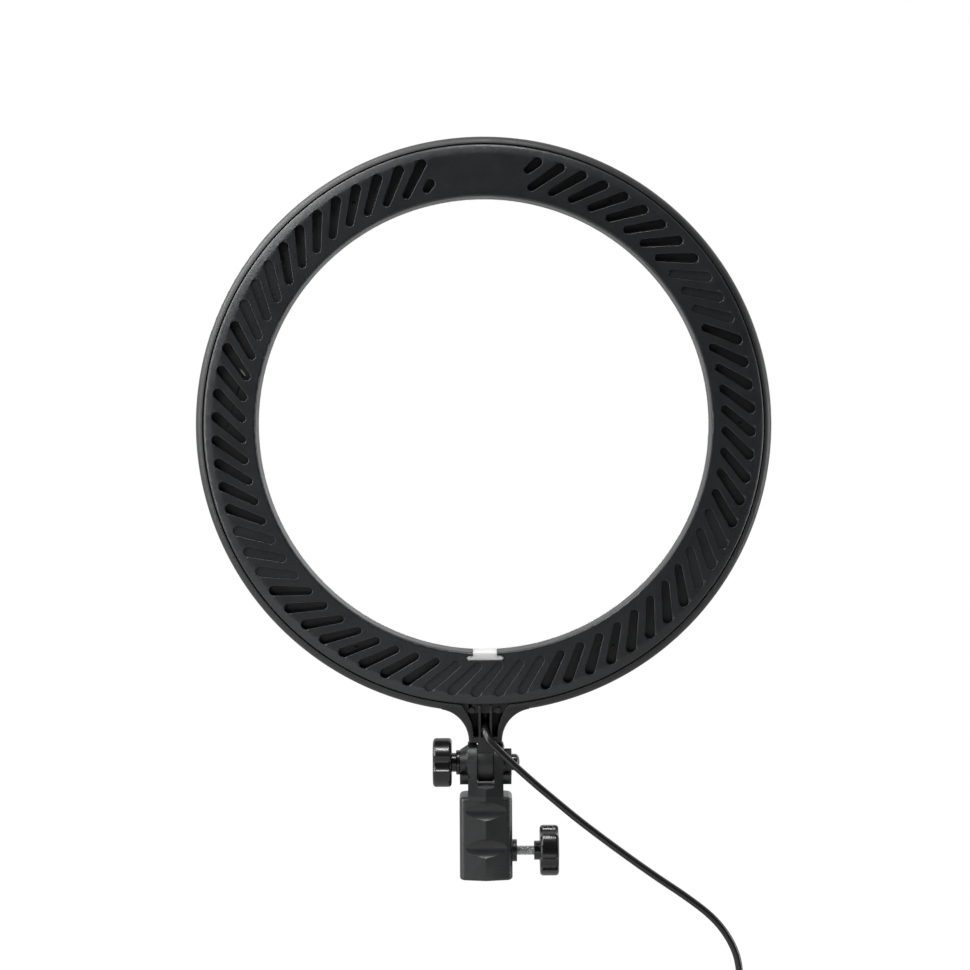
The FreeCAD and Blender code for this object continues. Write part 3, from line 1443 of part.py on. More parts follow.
def make_plug():
    x, y, z = CORD_TAIL[-1]
    relief = cone("PlugRelief", None, ("%.1f" % x, "%.1f" % y, "%.1f - relief_length" % z),
                  "relief_wide_radius", "relief_narrow_radius", "relief_length")
    finished(relief, "plug_strain_relief")
    grip = doc.addObject("PartDesign::Body", "PlugGrip")
    grip.Placement = FreeCAD.Placement(Vector(x, y, z - amount("relief_length")), FreeCAD.Rotation())
    shape = new_sketch(grip, "XY")
    rectangle(shape, "-plug_grip_width / 2", "-plug_grip_depth / 2",
              "plug_grip_width / 2", "plug_grip_depth / 2")
    solid = pad(grip, shape, "plug_grip_length", backwards=True)
    soften(grip, solid, lambda e: not flat_at(e, "Z", -amount("plug_grip_length")),
           "plug_grip_rounding")
    finished(grip, "plug_grip")
    face_z = z - amount("relief_length") - amount("plug_grip_length")
    margin = "plug_face_margin"
    face = block("PlugFace",
                 ("%.1f - plug_grip_width / 2 + %s" % (x, margin),
                  "%.1f - plug_grip_depth / 2 + %s" % (y, margin),
                  "%.3f - plug_face_thickness" % face_z),
                 "plug_grip_width - 2 * " + margin, "plug_grip_depth - 2 * " + margin,
                 "plug_face_thickness")
    finished(face, "plug_face")
    blades = []
    for index, sign in enumerate(("-", "+")):
        stock = block("Blade%d" % index,
                      ("%.1f %s blade_spacing / 2 - blade_thickness / 2" % (x, sign),
                       "%.1f - blade_width / 2" % y,
                       "%.3f - plug_face_thickness - blade_length" % face_z),
                      "blade_thickness", "blade_width", "blade_length")
        blades.append(stock)
    group = doc.addObject("Part::Compound", "Blades")
    group.Links = blades
    finished(group, "plug_blades")


def check_and_write():
    doc.recompute()
    for feature in doc.Objects:
        bad = {"Invalid", "Error"} & set(feature.State)
        if bad:
            raise RuntimeError("%s is %s" % (feature.Label, sorted(bad)))
    os.makedirs("parts", exist_ok=True)
    for feature in pieces:
        shape = feature.Shape
        if shape.isNull() or not shape.isValid() or not shape.Solids:
            raise RuntimeError(feature.Label + " has no valid solid")
        shape.exportStep("parts/%s.step" % feature.Label)
    print("%d sub-parts written" % len(pieces))


fill_sheet()
make_housing()
make_cover()
make_diffuser()
make_board()
make_leds()
make_screws()
make_cord_entry()
make_bracket()
make_tilt_clamp()
make_nut()
make_friction_washers()
make_lock()
free_stretch("cord_at_neck", CORD_AT_NECK)
free_stretch("cord_drop", CORD_DROP)
make_reliefs()
make_controller_case()
make_buttons()
make_controller_inside()
free_stretch("cord_link", CORD_LINK)
make_tie(make_coil())
free_stretch("cord_tail", CORD_TAIL)
make_plug()
check_and_write()
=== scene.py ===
import math
import bmesh
import bpy
from mathutils import Euler, Matrix, Vector


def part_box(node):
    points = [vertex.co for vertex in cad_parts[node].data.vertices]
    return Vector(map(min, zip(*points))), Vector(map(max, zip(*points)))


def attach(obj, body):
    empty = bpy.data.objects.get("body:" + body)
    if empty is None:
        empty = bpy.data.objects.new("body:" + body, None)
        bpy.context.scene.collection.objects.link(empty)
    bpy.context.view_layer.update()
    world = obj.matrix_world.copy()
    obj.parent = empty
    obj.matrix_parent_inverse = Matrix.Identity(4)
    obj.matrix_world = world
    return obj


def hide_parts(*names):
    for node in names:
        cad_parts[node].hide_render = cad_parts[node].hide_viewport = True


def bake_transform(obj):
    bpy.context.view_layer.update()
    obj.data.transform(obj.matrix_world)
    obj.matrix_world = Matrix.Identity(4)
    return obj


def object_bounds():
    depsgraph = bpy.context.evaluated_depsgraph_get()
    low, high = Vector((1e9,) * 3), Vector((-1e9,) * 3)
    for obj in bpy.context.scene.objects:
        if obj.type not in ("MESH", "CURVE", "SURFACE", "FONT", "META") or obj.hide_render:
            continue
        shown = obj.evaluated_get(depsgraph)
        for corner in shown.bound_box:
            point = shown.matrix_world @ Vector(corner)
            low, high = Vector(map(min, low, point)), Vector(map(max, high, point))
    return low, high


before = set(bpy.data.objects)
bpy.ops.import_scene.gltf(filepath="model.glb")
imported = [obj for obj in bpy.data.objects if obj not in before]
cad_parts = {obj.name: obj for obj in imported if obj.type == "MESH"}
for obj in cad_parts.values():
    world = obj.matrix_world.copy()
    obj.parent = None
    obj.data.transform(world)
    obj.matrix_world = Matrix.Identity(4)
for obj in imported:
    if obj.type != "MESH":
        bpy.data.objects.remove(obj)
CAD_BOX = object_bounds()

# LED ring light seen from its vented back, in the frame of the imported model: +Z up
# the stud socket, +Y the way the light shines. Lengths are in mm, and MM turns them into
# Blender's metres. The floor's and the lamps' are in metres already.

MM = 0.001
RING_CENTRE = Vector((0, 0, 236.5)) * MM
PIVOT = Vector((0, 0, 59.6)) * MM
LOCK_AXIS = Vector((0, 0, 13.4)) * MM


# Small helpers.


def placed(name, data):
    """A new object in the scene."""
    thing = bpy.data.objects.new(name, data)
    bpy.context.scene.collection.objects.link(thing)
    return thing


def opened(mesh):
    shape = bmesh.new()
    shape.from_mesh(mesh)
    return shape


def closed(shape, mesh):
    shape.to_mesh(mesh)
    shape.free()
    return mesh


def feed(tree, node, inputs):
    """Sets a node's inputs by name or number, and links them where the value is a socket."""
    for name, value in inputs.items():
        if isinstance(value, bpy.types.NodeSocket):
            tree.links.new(value, node.inputs[name])
        else:
            node.inputs[name].default_value = value


def add(tree, kind, inputs=None, **settings):
    """A new node with its settings and its inputs."""
    node = tree.nodes.new(kind)
    for name, value in settings.items():
        setattr(node, name, value)
    feed(tree, node, inputs or {})
    return node


# Camera and light.

CAMERA_PLACE = Vector((0.26, -1100.0, 245.0))
CAMERA_ROLL = 0.34
SENSOR_WIDTH = 36.0
PICTURE_WIDTH = 970.0
MM_PER_PIXEL = 0.5235
SHIFT_RIGHT = 1.0
SHIFT_DOWN = 77.0

# The room's light at the camera's side, and the directions between which it grows to white.
ROOM_FRONT_STRENGTH = 0.05
ROOM_FADE = (-0.55, 0.35)

# The camera sees a glow over the floor's grey paper, which takes the shadow. From the
# shadow's radius out, the glow's share grows to the whole.
FLOOR_WHITE_SHARE = 0.80
FLOOR_WHITE_STRENGTH = 1.07
FLOOR_GREY = 0.40
FLOOR_RADIUS = 1.1
FLOOR_SHADOW_RADIUS = 0.45
FLOOR_DROP = 0.02

# Each lamp: its place, what it points at, its width and height in metres, and its watts.
LAMPS = {
    "key_softbox": ((-0.85, -0.85, 1.15), RING_CENTRE, 0.6, 0.6, 7.0),
    "top_strip": ((0.03, -0.45, 1.45), LOCK_AXIS, 0.3, 0.15, 5.0),
    "upper_left_strip": ((-1.10, -0.03, 1.30), RING_CENTRE, 0.30, 1.5, 22.0),
    "lower_right_strip": ((1.20, 0.0, -0.10), RING_CENTRE, 0.3, 1.2, 7.0),
    "low_front_strip": ((-0.25, -0.85, -0.20), PIVOT, 0.9, 0.12, 0.5),
    "left_strip": ((-1.20, -0.45, 0.25), RING_CENTRE, 0.25, 0.9, 6.0),
    "light_side_softbox": ((0.7, 1.6, 0.9), RING_CENTRE, 1.2, 1.2, 3.0),
}


def make_camera():
    """A level view of the back from 1.1 m, with the frame shifted down and a slight roll."""
    camera = placed("photo_camera", bpy.data.cameras.new("photo_camera"))
    camera.location = CAMERA_PLACE * MM
    camera.rotation_euler = Euler((math.radians(90), math.radians(CAMERA_ROLL), 0))
    camera.data.sensor_width = SENSOR_WIDTH
    camera.data.lens = SENSOR_WIDTH * -CAMERA_PLACE.y / MM_PER_PIXEL / PICTURE_WIDTH
    camera.data.shift_x = SHIFT_RIGHT / PICTURE_WIDTH
    camera.data.shift_y = -SHIFT_DOWN / PICTURE_WIDTH
    camera.data.clip_start = 0.05
    camera.data.clip_end = 20.0
    bpy.context.scene.camera = camera


def make_lamp(name, place, target, width, height, watts):
    light = bpy.data.lights.new(name, "AREA")
    light.shape = "RECTANGLE"
    light.size = width
    light.size_y = height
    light.energy = watts
    lamp = placed(name, light)
    lamp.location = place
    lamp.rotation_euler = (target - Vector(place)).to_track_quat("-Z", "Y").to_euler()


def make_world():
    """A white room behind the object that dims towards the camera. The camera sees white."""
    world = bpy.data.worlds.new("studio")
    bpy.context.scene.world = world
    world.use_nodes = True
    tree = world.node_tree
    tree.nodes.clear()
    direction = add(tree, "ShaderNodeTexCoord").outputs["Generated"]
    depth = add(tree, "ShaderNodeSeparateXYZ", {0: direction}).outputs["Y"]
    strength = add(tree, "ShaderNodeMapRange", {
        "Value": depth, "From Min": ROOM_FADE[0], "From Max": ROOM_FADE[1],
        "To Min": ROOM_FRONT_STRENGTH, "To Max": 1.0}, interpolation_type="SMOOTHSTEP")
    room = add(tree, "ShaderNodeBackground", {"Strength": strength.outputs["Result"]})
    white = add(tree, "ShaderNodeBackground", {"Color": (1, 1, 1, 1)})
    path = add(tree, "ShaderNodeLightPath")
    mix = add(tree, "ShaderNodeMixShader", {
        "Fac": path.outputs["Is Camera Ray"], 1: room.outputs[0], 2: white.outputs[0]})
    add(tree, "ShaderNodeOutputWorld", {"Surface": mix.outputs[0]})


def make_floor():
    """A white floor below the plug, which keeps the object's soft shadow."""
    shape = bmesh.new()
    level = CAD_BOX[0].z - FLOOR_DROP
    bmesh.ops.create_circle(shape, cap_ends=True, segments=96, radius=FLOOR_RADIUS,
                            matrix=Matrix.Translation((0, 0, level)))
    mesh = closed(shape, bpy.data.meshes.new("studio_floor"))
    floor = placed("studio_floor", mesh)
    material, tree, paper = new_material("floor_white", (FLOOR_GREY,) * 3, 0.9)
    paper.inputs["Specular IOR Level"].default_value = 0.0
    place = add(tree, "ShaderNodeTexCoord").outputs["Object"]
    flat = add(tree, "ShaderNodeVectorMath", {0: place, 1: (1, 1, 0)}, operation="MULTIPLY")
    reach = add(tree, "ShaderNodeVectorMath", {0: flat.outputs[0]}, operation="LENGTH")
    fade = add(tree, "ShaderNodeMapRange", {
        "Value": reach.outputs["Value"], "From Min": FLOOR_SHADOW_RADIUS,
        "From Max": FLOOR_RADIUS * 0.95, "To Min": FLOOR_WHITE_SHARE, "To Max": 1.0},
        interpolation_type="SMOOTHSTEP")
    path = add(tree, "ShaderNodeLightPath")
    share = add(tree, "ShaderNodeMath", {
        0: path.outputs["Is Camera Ray"], 1: fade.outputs["Result"]}, operation="MULTIPLY")
    glow = add(tree, "ShaderNodeEmission", {"Strength": FLOOR_WHITE_STRENGTH})
    mix = add(tree, "ShaderNodeMixShader", {
        "Fac": share.outputs[0], 1: paper.outputs[0], 2: glow.outputs[0]})
    feed(tree, tree.nodes["Material Output"], {"Surface": mix.outputs[0]})
    mesh.materials.append(material)


def make_studio():
    bpy.context.scene.view_settings.view_transform = "Standard"
    make_world()
    make_floor()
    for name, lamp in LAMPS.items():
        make_lamp(name, *lamp)


# Materials.


def new_material(name, colour, roughness):
    material = bpy.data.materials.new(name)
    material.use_nodes = True
    shader = material.node_tree.nodes["Principled BSDF"]
    shader.inputs["Base Color"].default_value = (*colour, 1)
    shader.inputs["Roughness"].default_value = roughness
    return material, material.node_tree, shader


def noise(tree, scale, detail=2.0, roughness=0.5, stretch=(1, 1, 1)):
    """Noise on the piece's own coordinates. The scale is in spots to the metre."""
    place = add(tree, "ShaderNodeTexCoord").outputs["Object"]
    mapping = add(tree, "ShaderNodeMapping", {"Scale": stretch, "Vector": place})
    return add(tree, "ShaderNodeTexNoise", {
        "Scale": scale, "Detail": detail, "Roughness": roughness,
        "Vector": mapping.outputs["Vector"]}).outputs["Fac"]


def spread(tree, value, low, high):
    """Maps a noise's middle range to two limits."""
    return add(tree, "ShaderNodeMapRange", {
        "Value": value, "From Min": 0.3, "From Max": 0.7, "To Min": low,
        "To Max": high}).outputs["Result"]


def tint(tree, value, dark, light):
    """A colour between two tones."""
    return add(tree, "ShaderNodeMix", {
        "Factor": spread(tree, value, 0.0, 1.0), "A": (*dark, 1), "B": (*light, 1)},
        data_type="RGBA").outputs["Result"]


def bump(tree, value, height, strength, before=None):
    """Raises the surface by a texture, in metres, over an earlier bump if there is one."""
    relief = add(tree, "ShaderNodeBump", {
        "Strength": strength, "Distance": height, "Height": value})
    if before:
        feed(tree, relief, {"Normal": before})
    return relief.outputs["Normal"]


def toned(colour, share):
    return [part * share for part in colour]


def moulded(name, colour, roughness, grain=1500.0, grain_height=0.02, sheen_spread=0.06,
            tone_spread=0.22, grain_strength=0.6):
    """Moulded plastic: slow changes of tone, uneven gloss and a fine grain."""
    material, tree, shader = new_material(name, colour, roughness)
    patches = noise(tree, 95.0, 4.0, 0.6)
    ripple = bump(tree, noise(tree, 160.0, 1.0), 0.03 * MM, 0.25)
    fine = noise(tree, grain, 2.0, 0.55)
    feed(tree, shader, {
        "Specular IOR Level": 0.7,
        "Base Color": tint(tree, noise(tree, 38.0, 3.0), toned(colour, 1 - tone_spread),
                           toned(colour, 1 + tone_spread)),
        "Roughness": spread(tree, patches, roughness - sheen_spread, roughness + sheen_spread),
        "Normal": bump(tree, fine, grain_height * MM, grain_strength, ripple)})
    return material


def turned_metal(name, colour, roughness, stretch=(1, 1, 1)):
    """Bare metal with fine turning marks and uneven polish."""
    material, tree, shader = new_material(name, colour, roughness)
    marks = noise(tree, 900.0, 3.0, 0.6, stretch)
    polish = noise(tree, 240.0, 3.0)
    feed(tree, shader, {
        "Metallic": 1.0,
        "Base Color": tint(tree, marks, toned(colour, 0.72), colour),
        "Roughness": spread(tree, polish, roughness - 0.08, roughness + 0.12),
        "Normal": bump(tree, marks, 0.01 * MM, 0.5)})
    return material


def opal(name):
    """The diffuser's opal sheet, which lets light through and spreads it."""
    material, tree, shader = new_material(name, (0.90, 0.90, 0.88), 0.42)
    feed(tree, shader, {
        "Base Color": tint(tree, noise(tree, 12.0, 3.0), (0.87, 0.87, 0.85), (0.92, 0.92, 0.905)),
        "Subsurface Weight": 0.5,
        "Subsurface Radius": (0.004, 0.004, 0.0038),
        "Subsurface Scale": 1.0,
        "Roughness": spread(tree, noise(tree, 70.0, 2.0), 0.38, 0.48),
        "Normal": bump(tree, noise(tree, 1500.0, 2.0), 0.01 * MM, 0.4)})
    return material


def woven(name, colour):
    """The strap's cloth: a fine loop pile."""
    material, tree, shader = new_material(name, colour, 0.9)
    pile = noise(tree, 1900.0, 4.0, 0.7)
    feed(tree, shader, {
        "Sheen Weight": 0.4,
        "Sheen Roughness": 0.5,
        "Base Color": tint(tree, pile, toned(colour, 0.5), toned(colour, 1.7)),
        "Roughness": spread(tree, noise(tree, 500.0), 0.8, 0.98),
        "Normal": bump(tree, pile, 0.25 * MM, 0.9)})
    return material


# Each plastic: its colour and roughness, then the values that moulded takes after them.
PLASTICS = {
    "ring_black": ((0.0160, 0.0167, 0.0180), 0.48, 1150.0, 0.06, 0.05, 0.15, 0.8),
    "cover_black": ((0.0205, 0.0223, 0.0248), 0.37, 850.0, 0.10, 0.05, 0.15, 0.9),
    "bracket_black": ((0.0200, 0.0211, 0.0228), 0.38, 1250.0, 0.05, 0.06, 0.18),
    "knob_black": ((0.0060, 0.0062, 0.0068), 0.24, 1800.0, 0.006, 0.05),
    "cord_black": ((0.0100, 0.0102, 0.0108), 0.30, 1300.0, 0.012, 0.06),
    "relief_black": ((0.0120, 0.0122, 0.0128), 0.45, 1700.0, 0.015),
    "case_black": ((0.0125, 0.0128, 0.0135), 0.34, 1600.0, 0.015),
    "plug_black": ((0.0120, 0.0122, 0.0130), 0.38, 1600.0, 0.015),
    "washer_fibre": ((0.0220, 0.0215, 0.0210), 0.70, 1200.0, 0.02),
    "button_grey": ((0.060, 0.061, 0.064), 0.55, 1900.0, 0.012),
    "icon_white": ((0.74, 0.74, 0.73), 0.50, 1900.0, 0.004, 0.05, 0.04),
    "switch_black": ((0.020, 0.020, 0.021), 0.40),
    "resistor_black": ((0.022, 0.022, 0.023), 0.45),
    "board_white": ((0.80, 0.80, 0.77), 0.38, 900.0, 0.01, 0.05, 0.03),
    "board_green": ((0.020, 0.110, 0.045), 0.30, 900.0, 0.01, 0.05, 0.15),
    "led_cool": ((0.78, 0.74, 0.34), 0.30, 1800.0, 0.01, 0.05, 0.05),
    "led_warm": ((0.80, 0.50, 0.12), 0.30, 1800.0, 0.01, 0.05, 0.06),
    "led_case": ((0.82, 0.82, 0.79), 0.40, 1500.0, 0.01, 0.05, 0.03),
    "connector_white": ((0.72, 0.70, 0.62), 0.42, 1500.0, 0.01, 0.05, 0.05),
    "wire_red": ((0.36, 0.020, 0.016), 0.38),
    "wire_white": ((0.74, 0.73, 0.70), 0.40, 1500.0, 0.01, 0.05, 0.05),
    "wire_yellow": ((0.62, 0.42, 0.03), 0.38, 1500.0, 0.01, 0.05, 0.08),
}
METALS = {
    "zinc_steel": ((0.86, 0.87, 0.88), 0.52),
    "dark_steel": ((0.060, 0.060, 0.062), 0.40),
    "brass": ((0.72, 0.52, 0.22), 0.30),
    "solder_tin": ((0.62, 0.62, 0.61), 0.34),
    "blade_nickel": ((0.70, 0.69, 0.66), 0.24, (1, 1, 0.08)),
}
MATERIALS = {name: moulded(name, *values) for name, values in PLASTICS.items()}
MATERIALS.update({name: turned_metal(name, *values) for name, values in METALS.items()})
MATERIALS["diffuser_white"] = opal("diffuser_white")
MATERIALS["tie_fabric"] = woven("tie_fabric", (0.022, 0.022, 0.024))


# How pieces are made.


def show(name, mesh, body, slot, nodes=(), material=None):
    """A finished piece: its mesh, its finish, its body and the CAD nodes that it stands for."""
    piece = placed(name, mesh)
    if not mesh.materials:
        mesh.materials.append(MATERIALS[material or slot])
    if body:
        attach(piece, body)
    if nodes:
        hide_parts(*nodes)
    return piece


def smooth_by_angle(mesh, degrees=32.0):
    """Smooth faces with sharp edges past an angle, and where the mesh marks its sharp lines."""
    mesh.polygons.foreach_set("use_smooth", [True] * len(mesh.polygons))
    mesh.set_sharp_from_angle(angle=math.radians(degrees))
    marked = mesh.attributes.get("sharp_line")
    if marked:
        for edge, mark in zip(mesh.edges, marked.data):
            if mark.value:
                edge.use_edge_sharp = True


def finished_mesh(name, shape, smooth=40.0):
    """A mesh from a bmesh whose faces are turned outwards."""
    bmesh.ops.recalc_face_normals(shape, faces=shape.faces)
    mesh = closed(shape, bpy.data.meshes.new(name))
    smooth_by_angle(mesh, smooth)
    return mesh


def merged_copy(node):
    """A copy of a CAD node's mesh with its vertices joined and its flat faces whole."""
    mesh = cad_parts[node].data.copy()
    mesh.materials.clear()
    shape = opened(mesh)
    bmesh.ops.remove_doubles(shape, verts=shape.verts, dist=0.002 * MM)
    bmesh.ops.dissolve_limit(shape, angle_limit=math.radians(0.05), verts=shape.verts,
                             edges=shape.edges)
    return closed(shape, mesh)


def evaluated_mesh(piece):
    """The piece's mesh with its modifiers applied."""
    graph = bpy.context.evaluated_depsgraph_get()
    graph.update()
    return bpy.data.meshes.new_from_object(piece.evaluated_get(graph))


def modified(mesh, set_up):
    """The mesh after the modifiers that set_up gives a holder."""
    holder = placed("holder", mesh)
    set_up(holder)
    result = evaluated_mesh(holder)
    bpy.data.objects.remove(holder)
    return result


def cut(mesh, *tools):
    """The mesh less the tools' shapes."""
    cutters = [placed("cutter%d" % number, tool) for number, tool in enumerate(tools)]

    def set_up(holder):
        for cutter in cutters:
            drill = holder.modifiers.new("cut", "BOOLEAN")
            drill.operation = "DIFFERENCE"
            drill.object = cutter

    result = modified(mesh, set_up)
    for cutter in cutters:
        bpy.data.objects.remove(cutter)
    return result


def rounded_edges(mesh, edge, wide_edge=0.0, is_wide=None, angle=30.0):
    """The mesh with its sharp edges rounded, and some of them by a wider amount."""
    shape = opened(mesh)
    weights = shape.edges.layers.float.new("bevel_weight_edge")
    widest = max(edge, wide_edge)
    for side in shape.edges:
        if len(side.link_faces) != 2 or side.calc_face_angle(0) < math.radians(angle):
            continue
        wide = is_wide and is_wide(*(vertex.co / MM for vertex in side.verts))
        side[weights] = (wide_edge if wide else edge) / widest
    closed(shape, mesh)

    def set_up(holder):
        bevel = holder.modifiers.new("edges", "BEVEL")
        bevel.width = widest * MM
        bevel.segments = 3 if wide_edge else 2
        bevel.limit_method = "WEIGHT"
        bevel.use_clamp_overlap = False

    return modified(mesh, set_up)


def even_shading(mesh, smooth):
    """Smooth curves whose flat neighbours stay flat."""
    smooth_by_angle(mesh, smooth)

    def set_up(holder):
        weighted = holder.modifiers.new("shading", "WEIGHTED_NORMAL")
        weighted.keep_sharp = True
        weighted.weight = 60

    return modified(mesh, set_up)


def dressed_node(node, body, slot, edge=0.0, smooth=40.0, wide_edge=0.0, is_wide=None,
                 reshape=None, material=None, edge_angle=30.0):
    """A CAD node's own shape with rounded edges, in mm, and smooth curves."""
    mesh = merged_copy(node)
    if reshape:
        mesh = reshape(mesh)
    if edge or wide_edge:
        mesh = rounded_edges(mesh, edge, wide_edge, is_wide, edge_angle)
    return show(node + "_piece", even_shading(mesh, smooth), body, slot, (node,), material)


def skinned(shape, rings, end_to_start=False, capped=False):
    """Faces between rings of vertices. A ring of one vertex is a point."""
    sides = max(len(ring) for ring in rings)
    pairs = list(zip(rings, rings[1:]))
    if end_to_start:
        pairs.append((rings[-1], rings[0]))
    for first, second in pairs:
        for step in range(sides):
            following = (step + 1) % sides
            corners = [first[step % len(first)], first[following % len(first)],
                       second[following % len(second)], second[step % len(second)]]
            unique = list(dict.fromkeys(corners))
            if len(unique) > 2:
                shape.faces.new(unique)
    if capped:
        shape.faces.new(rings[0])
        shape.faces.new(rings[-1])


def axes(direction):
    """A direction and the two across it."""
    along = Vector(direction).normalized()
    across = along.orthogonal().normalized()
    return along, across, along.cross(across)


def around(across, up, sides):
    """Directions round an axis, from one across it."""
    turns = [2 * math.pi * side / sides for side in range(sides)]
    return [across * math.cos(turn) + up * math.sin(turn) for turn in turns]


def lathe(name, profile, start, direction, segments=48, smooth=40.0, hollow=False):
    """A turned shape. The profile's pairs are (distance along the axis, radius) in mm."""
    along, across, up = axes(direction)
    shape = bmesh.new()
    rings = []
    for distance, radius in profile:
        middle = Vector(start) * MM + along * distance * MM
        if radius == 0:
            rings.append([shape.verts.new(middle)])
            continue
        rings.append([shape.verts.new(middle + outwards * radius * MM)
                      for outwards in around(across, up, segments)])
    skinned(shape, rings, end_to_start=hollow)
    return finished_mesh(name, shape, smooth)


def threaded_rod(name, start, direction, length, radius, pitch, tip_bevel=0.6, plain=(0, 0)):
    """A screw's shank: a helical thread, but for a plain stretch, with a bevelled tip."""
    along, across, up = axes(direction)
    sides, steps_per_turn = 32, 8
    depth = 0.55 * pitch
    steps = int(length / pitch * steps_per_turn)
    shape = bmesh.new()
    rings = []
    for step in range(steps + 1):
        distance = length * step / steps
        tip = radius - max(0.0, tip_bevel - distance)
        ring = []
        for side, outwards in enumerate(around(across, up, sides)):
            phase = (distance / pitch - side / sides) % 1.0
            crest = 1.0 - abs(2 * phase - 1)
            is_plain = plain[0] < distance < plain[1]
            groove = 0.0 if is_plain else depth * (1 - min(1.0, 1.25 * crest))
            spot = Vector(start) + along * distance + outwards * min(tip, radius - groove)
            ring.append(shape.verts.new(spot * MM))
        rings.append(ring)
    skinned(shape, rings, capped=True)
    return finished_mesh(name, shape, 50.0)


def squarish(angle, squareness):
    """A point on a rounded square of half width 1, at an angle."""
    side, up = math.cos(angle), math.sin(angle)
    share = (abs(side) ** squareness + abs(up) ** squareness) ** (-1 / squareness)
    return side * share, up * share


def extruded(shape, outline, place):
    """A flat outline, in the piece's X and Z, raised from its base to its top along Y."""
    base, top = ([shape.verts.new(place(u, v, level)) for u, v in outline] for level in (0, 1))
    skinned(shape, [base, top], capped=True)


def arc(radius, start, end, steps):
    """Points on an arc about the origin, between two angles in degrees."""
    angles = [math.radians(start + (end - start) * n / steps) for n in range(steps + 1)]
    return [(radius * math.cos(a), radius * math.sin(a)) for a in angles]


def bar(left, bottom, right, top):
    return [(left, bottom), (right, bottom), (right, top), (left, top)]


def block_mesh(name, size, middle=(0, 0, 0), edge=0.0, corner_steps=2):
    """A block with rounded edges, all in mm."""
    shape = bmesh.new()
    bmesh.ops.create_cube(shape, size=1.0)
    for vertex in shape.verts:
        vertex.co = (Vector(vertex.co) * Vector(size) + Vector(middle)) * MM
    if edge:
        bmesh.ops.bevel(shape, geom=list(shape.edges), offset=edge * MM, segments=corner_steps,
                        affect="EDGES", profile=0.5)
    return finished_mesh(name, shape)


def joined(name, *meshes):
    """Several meshes as one."""
    shape = bmesh.new()
    for mesh in meshes:
        shape.from_mesh(mesh)
    result = closed(shape, bpy.data.meshes.new(name))
    smooth_by_angle(result, 40.0)
    return result


# Geometry trees for what repeats.


def new_tree(name, numbers):
    """A tree that repeats an item. It returns the tree, its inputs and the item's shape."""
    tree = bpy.data.node_groups.new(name, "GeometryNodeTree")
    for label, kind in (("Geometry", "Geometry"), ("Item", "Object"), ("Material", "Material"),
                        *numbers):
        tree.interface.new_socket(label, in_out="INPUT", socket_type="NodeSocket" + kind)
    tree.interface.new_socket("Geometry", in_out="OUTPUT", socket_type="NodeSocketGeometry")
    entry = add(tree, "NodeGroupInput")
    item = add(tree, "GeometryNodeObjectInfo", {"Object": entry.outputs["Item"]})
    return tree, entry.outputs, item.outputs["Geometry"]


def tree_math(tree, operation, first, second):
    return add(tree, "ShaderNodeMath", {0: first, 1: second}, operation=operation).outputs[0]


def tree_vector(tree, x, y, z):
    return add(tree, "ShaderNodeCombineXYZ", {0: x, 1: y, 2: z}).outputs[0]


def end_tree(tree, copies, material):
    """Real geometry and one material end the tree."""
    real = add(tree, "GeometryNodeRealizeInstances", {0: copies.outputs[0]})
    paint = add(tree, "GeometryNodeSetMaterial", {
        "Geometry": real.outputs[0], "Material": material})
    add(tree, "NodeGroupOutput", {0: paint.outputs[0]})
    return tree


def ring_tree():
    """Copies of an item round the ring's axis, each turned by its place's angle."""
    tree, sizes, item = new_tree("ring_of_items", (
        ("Count", "Int"), ("Radius", "Float"), ("First Angle", "Float"), ("Centre", "Vector")))
    circle = add(tree, "GeometryNodeMeshCircle", {
        "Vertices": sizes["Count"], "Radius": sizes["Radius"]})
    back = tree_math(tree, "MULTIPLY", sizes["First Angle"], -1.0)
    stand = add(tree, "GeometryNodeTransform", {
        "Geometry": circle.outputs[0], "Translation": sizes["Centre"],
        "Rotation": tree_vector(tree, math.pi / 2, back, 0.0)})
    index = add(tree, "GeometryNodeInputIndex").outputs[0]
    step = tree_math(tree, "DIVIDE", -2 * math.pi, sizes["Count"])
    turn = tree_math(tree, "ADD", tree_math(tree, "MULTIPLY", index, step), back)
    copies = add(tree, "GeometryNodeInstanceOnPoints", {
        "Points": stand.outputs[0], "Instance": item,
        "Rotation": tree_vector(tree, 0.0, turn, 0.0)})
    return end_tree(tree, copies, sizes["Material"])


def row_tree():
    """Copies of an item along a line, which shrink evenly towards its end."""
    tree, sizes, item = new_tree("row_of_items", (
        ("Count", "Int"), ("Start", "Vector"), ("Step", "Vector"), ("End Scale", "Float")))
    line = add(tree, "GeometryNodeMeshLine", {
        "Count": sizes["Count"], "Start Location": sizes["Start"], "Offset": sizes["Step"]})
    index = add(tree, "GeometryNodeInputIndex").outputs[0]
    last = tree_math(tree, "SUBTRACT", sizes["Count"], 1.0)
    share = tree_math(tree, "DIVIDE", index, last)
    change = tree_math(tree, "SUBTRACT", sizes["End Scale"], 1.0)
    scale = tree_math(tree, "ADD", tree_math(tree, "MULTIPLY", share, change), 1.0)
    copies = add(tree, "GeometryNodeInstanceOnPoints", {
        "Points": line.outputs[0], "Instance": item,
        "Scale": tree_vector(tree, scale, scale, 1.0)})
    return end_tree(tree, copies, sizes["Material"])


def repeated(tree, item_mesh, material, **sizes):
    """The mesh that a tree makes of an item."""
    item = placed("item", item_mesh)
    values = {"Item": item, "Material": MATERIALS[material]}
    values.update({label.replace("_", " "): value for label, value in sizes.items()})

    def set_up(holder):
        copies = holder.modifiers.new("copies", "NODES")
        copies.node_group = tree
        for socket in tree.interface.items_tree:
            if socket.in_out == "INPUT" and socket.name in values:
                copies[socket.identifier] = values[socket.name]

    mesh = modified(bpy.data.meshes.new("points"), set_up)
    bpy.data.objects.remove(item)
    smooth_by_angle(mesh, 40.0)
    return mesh


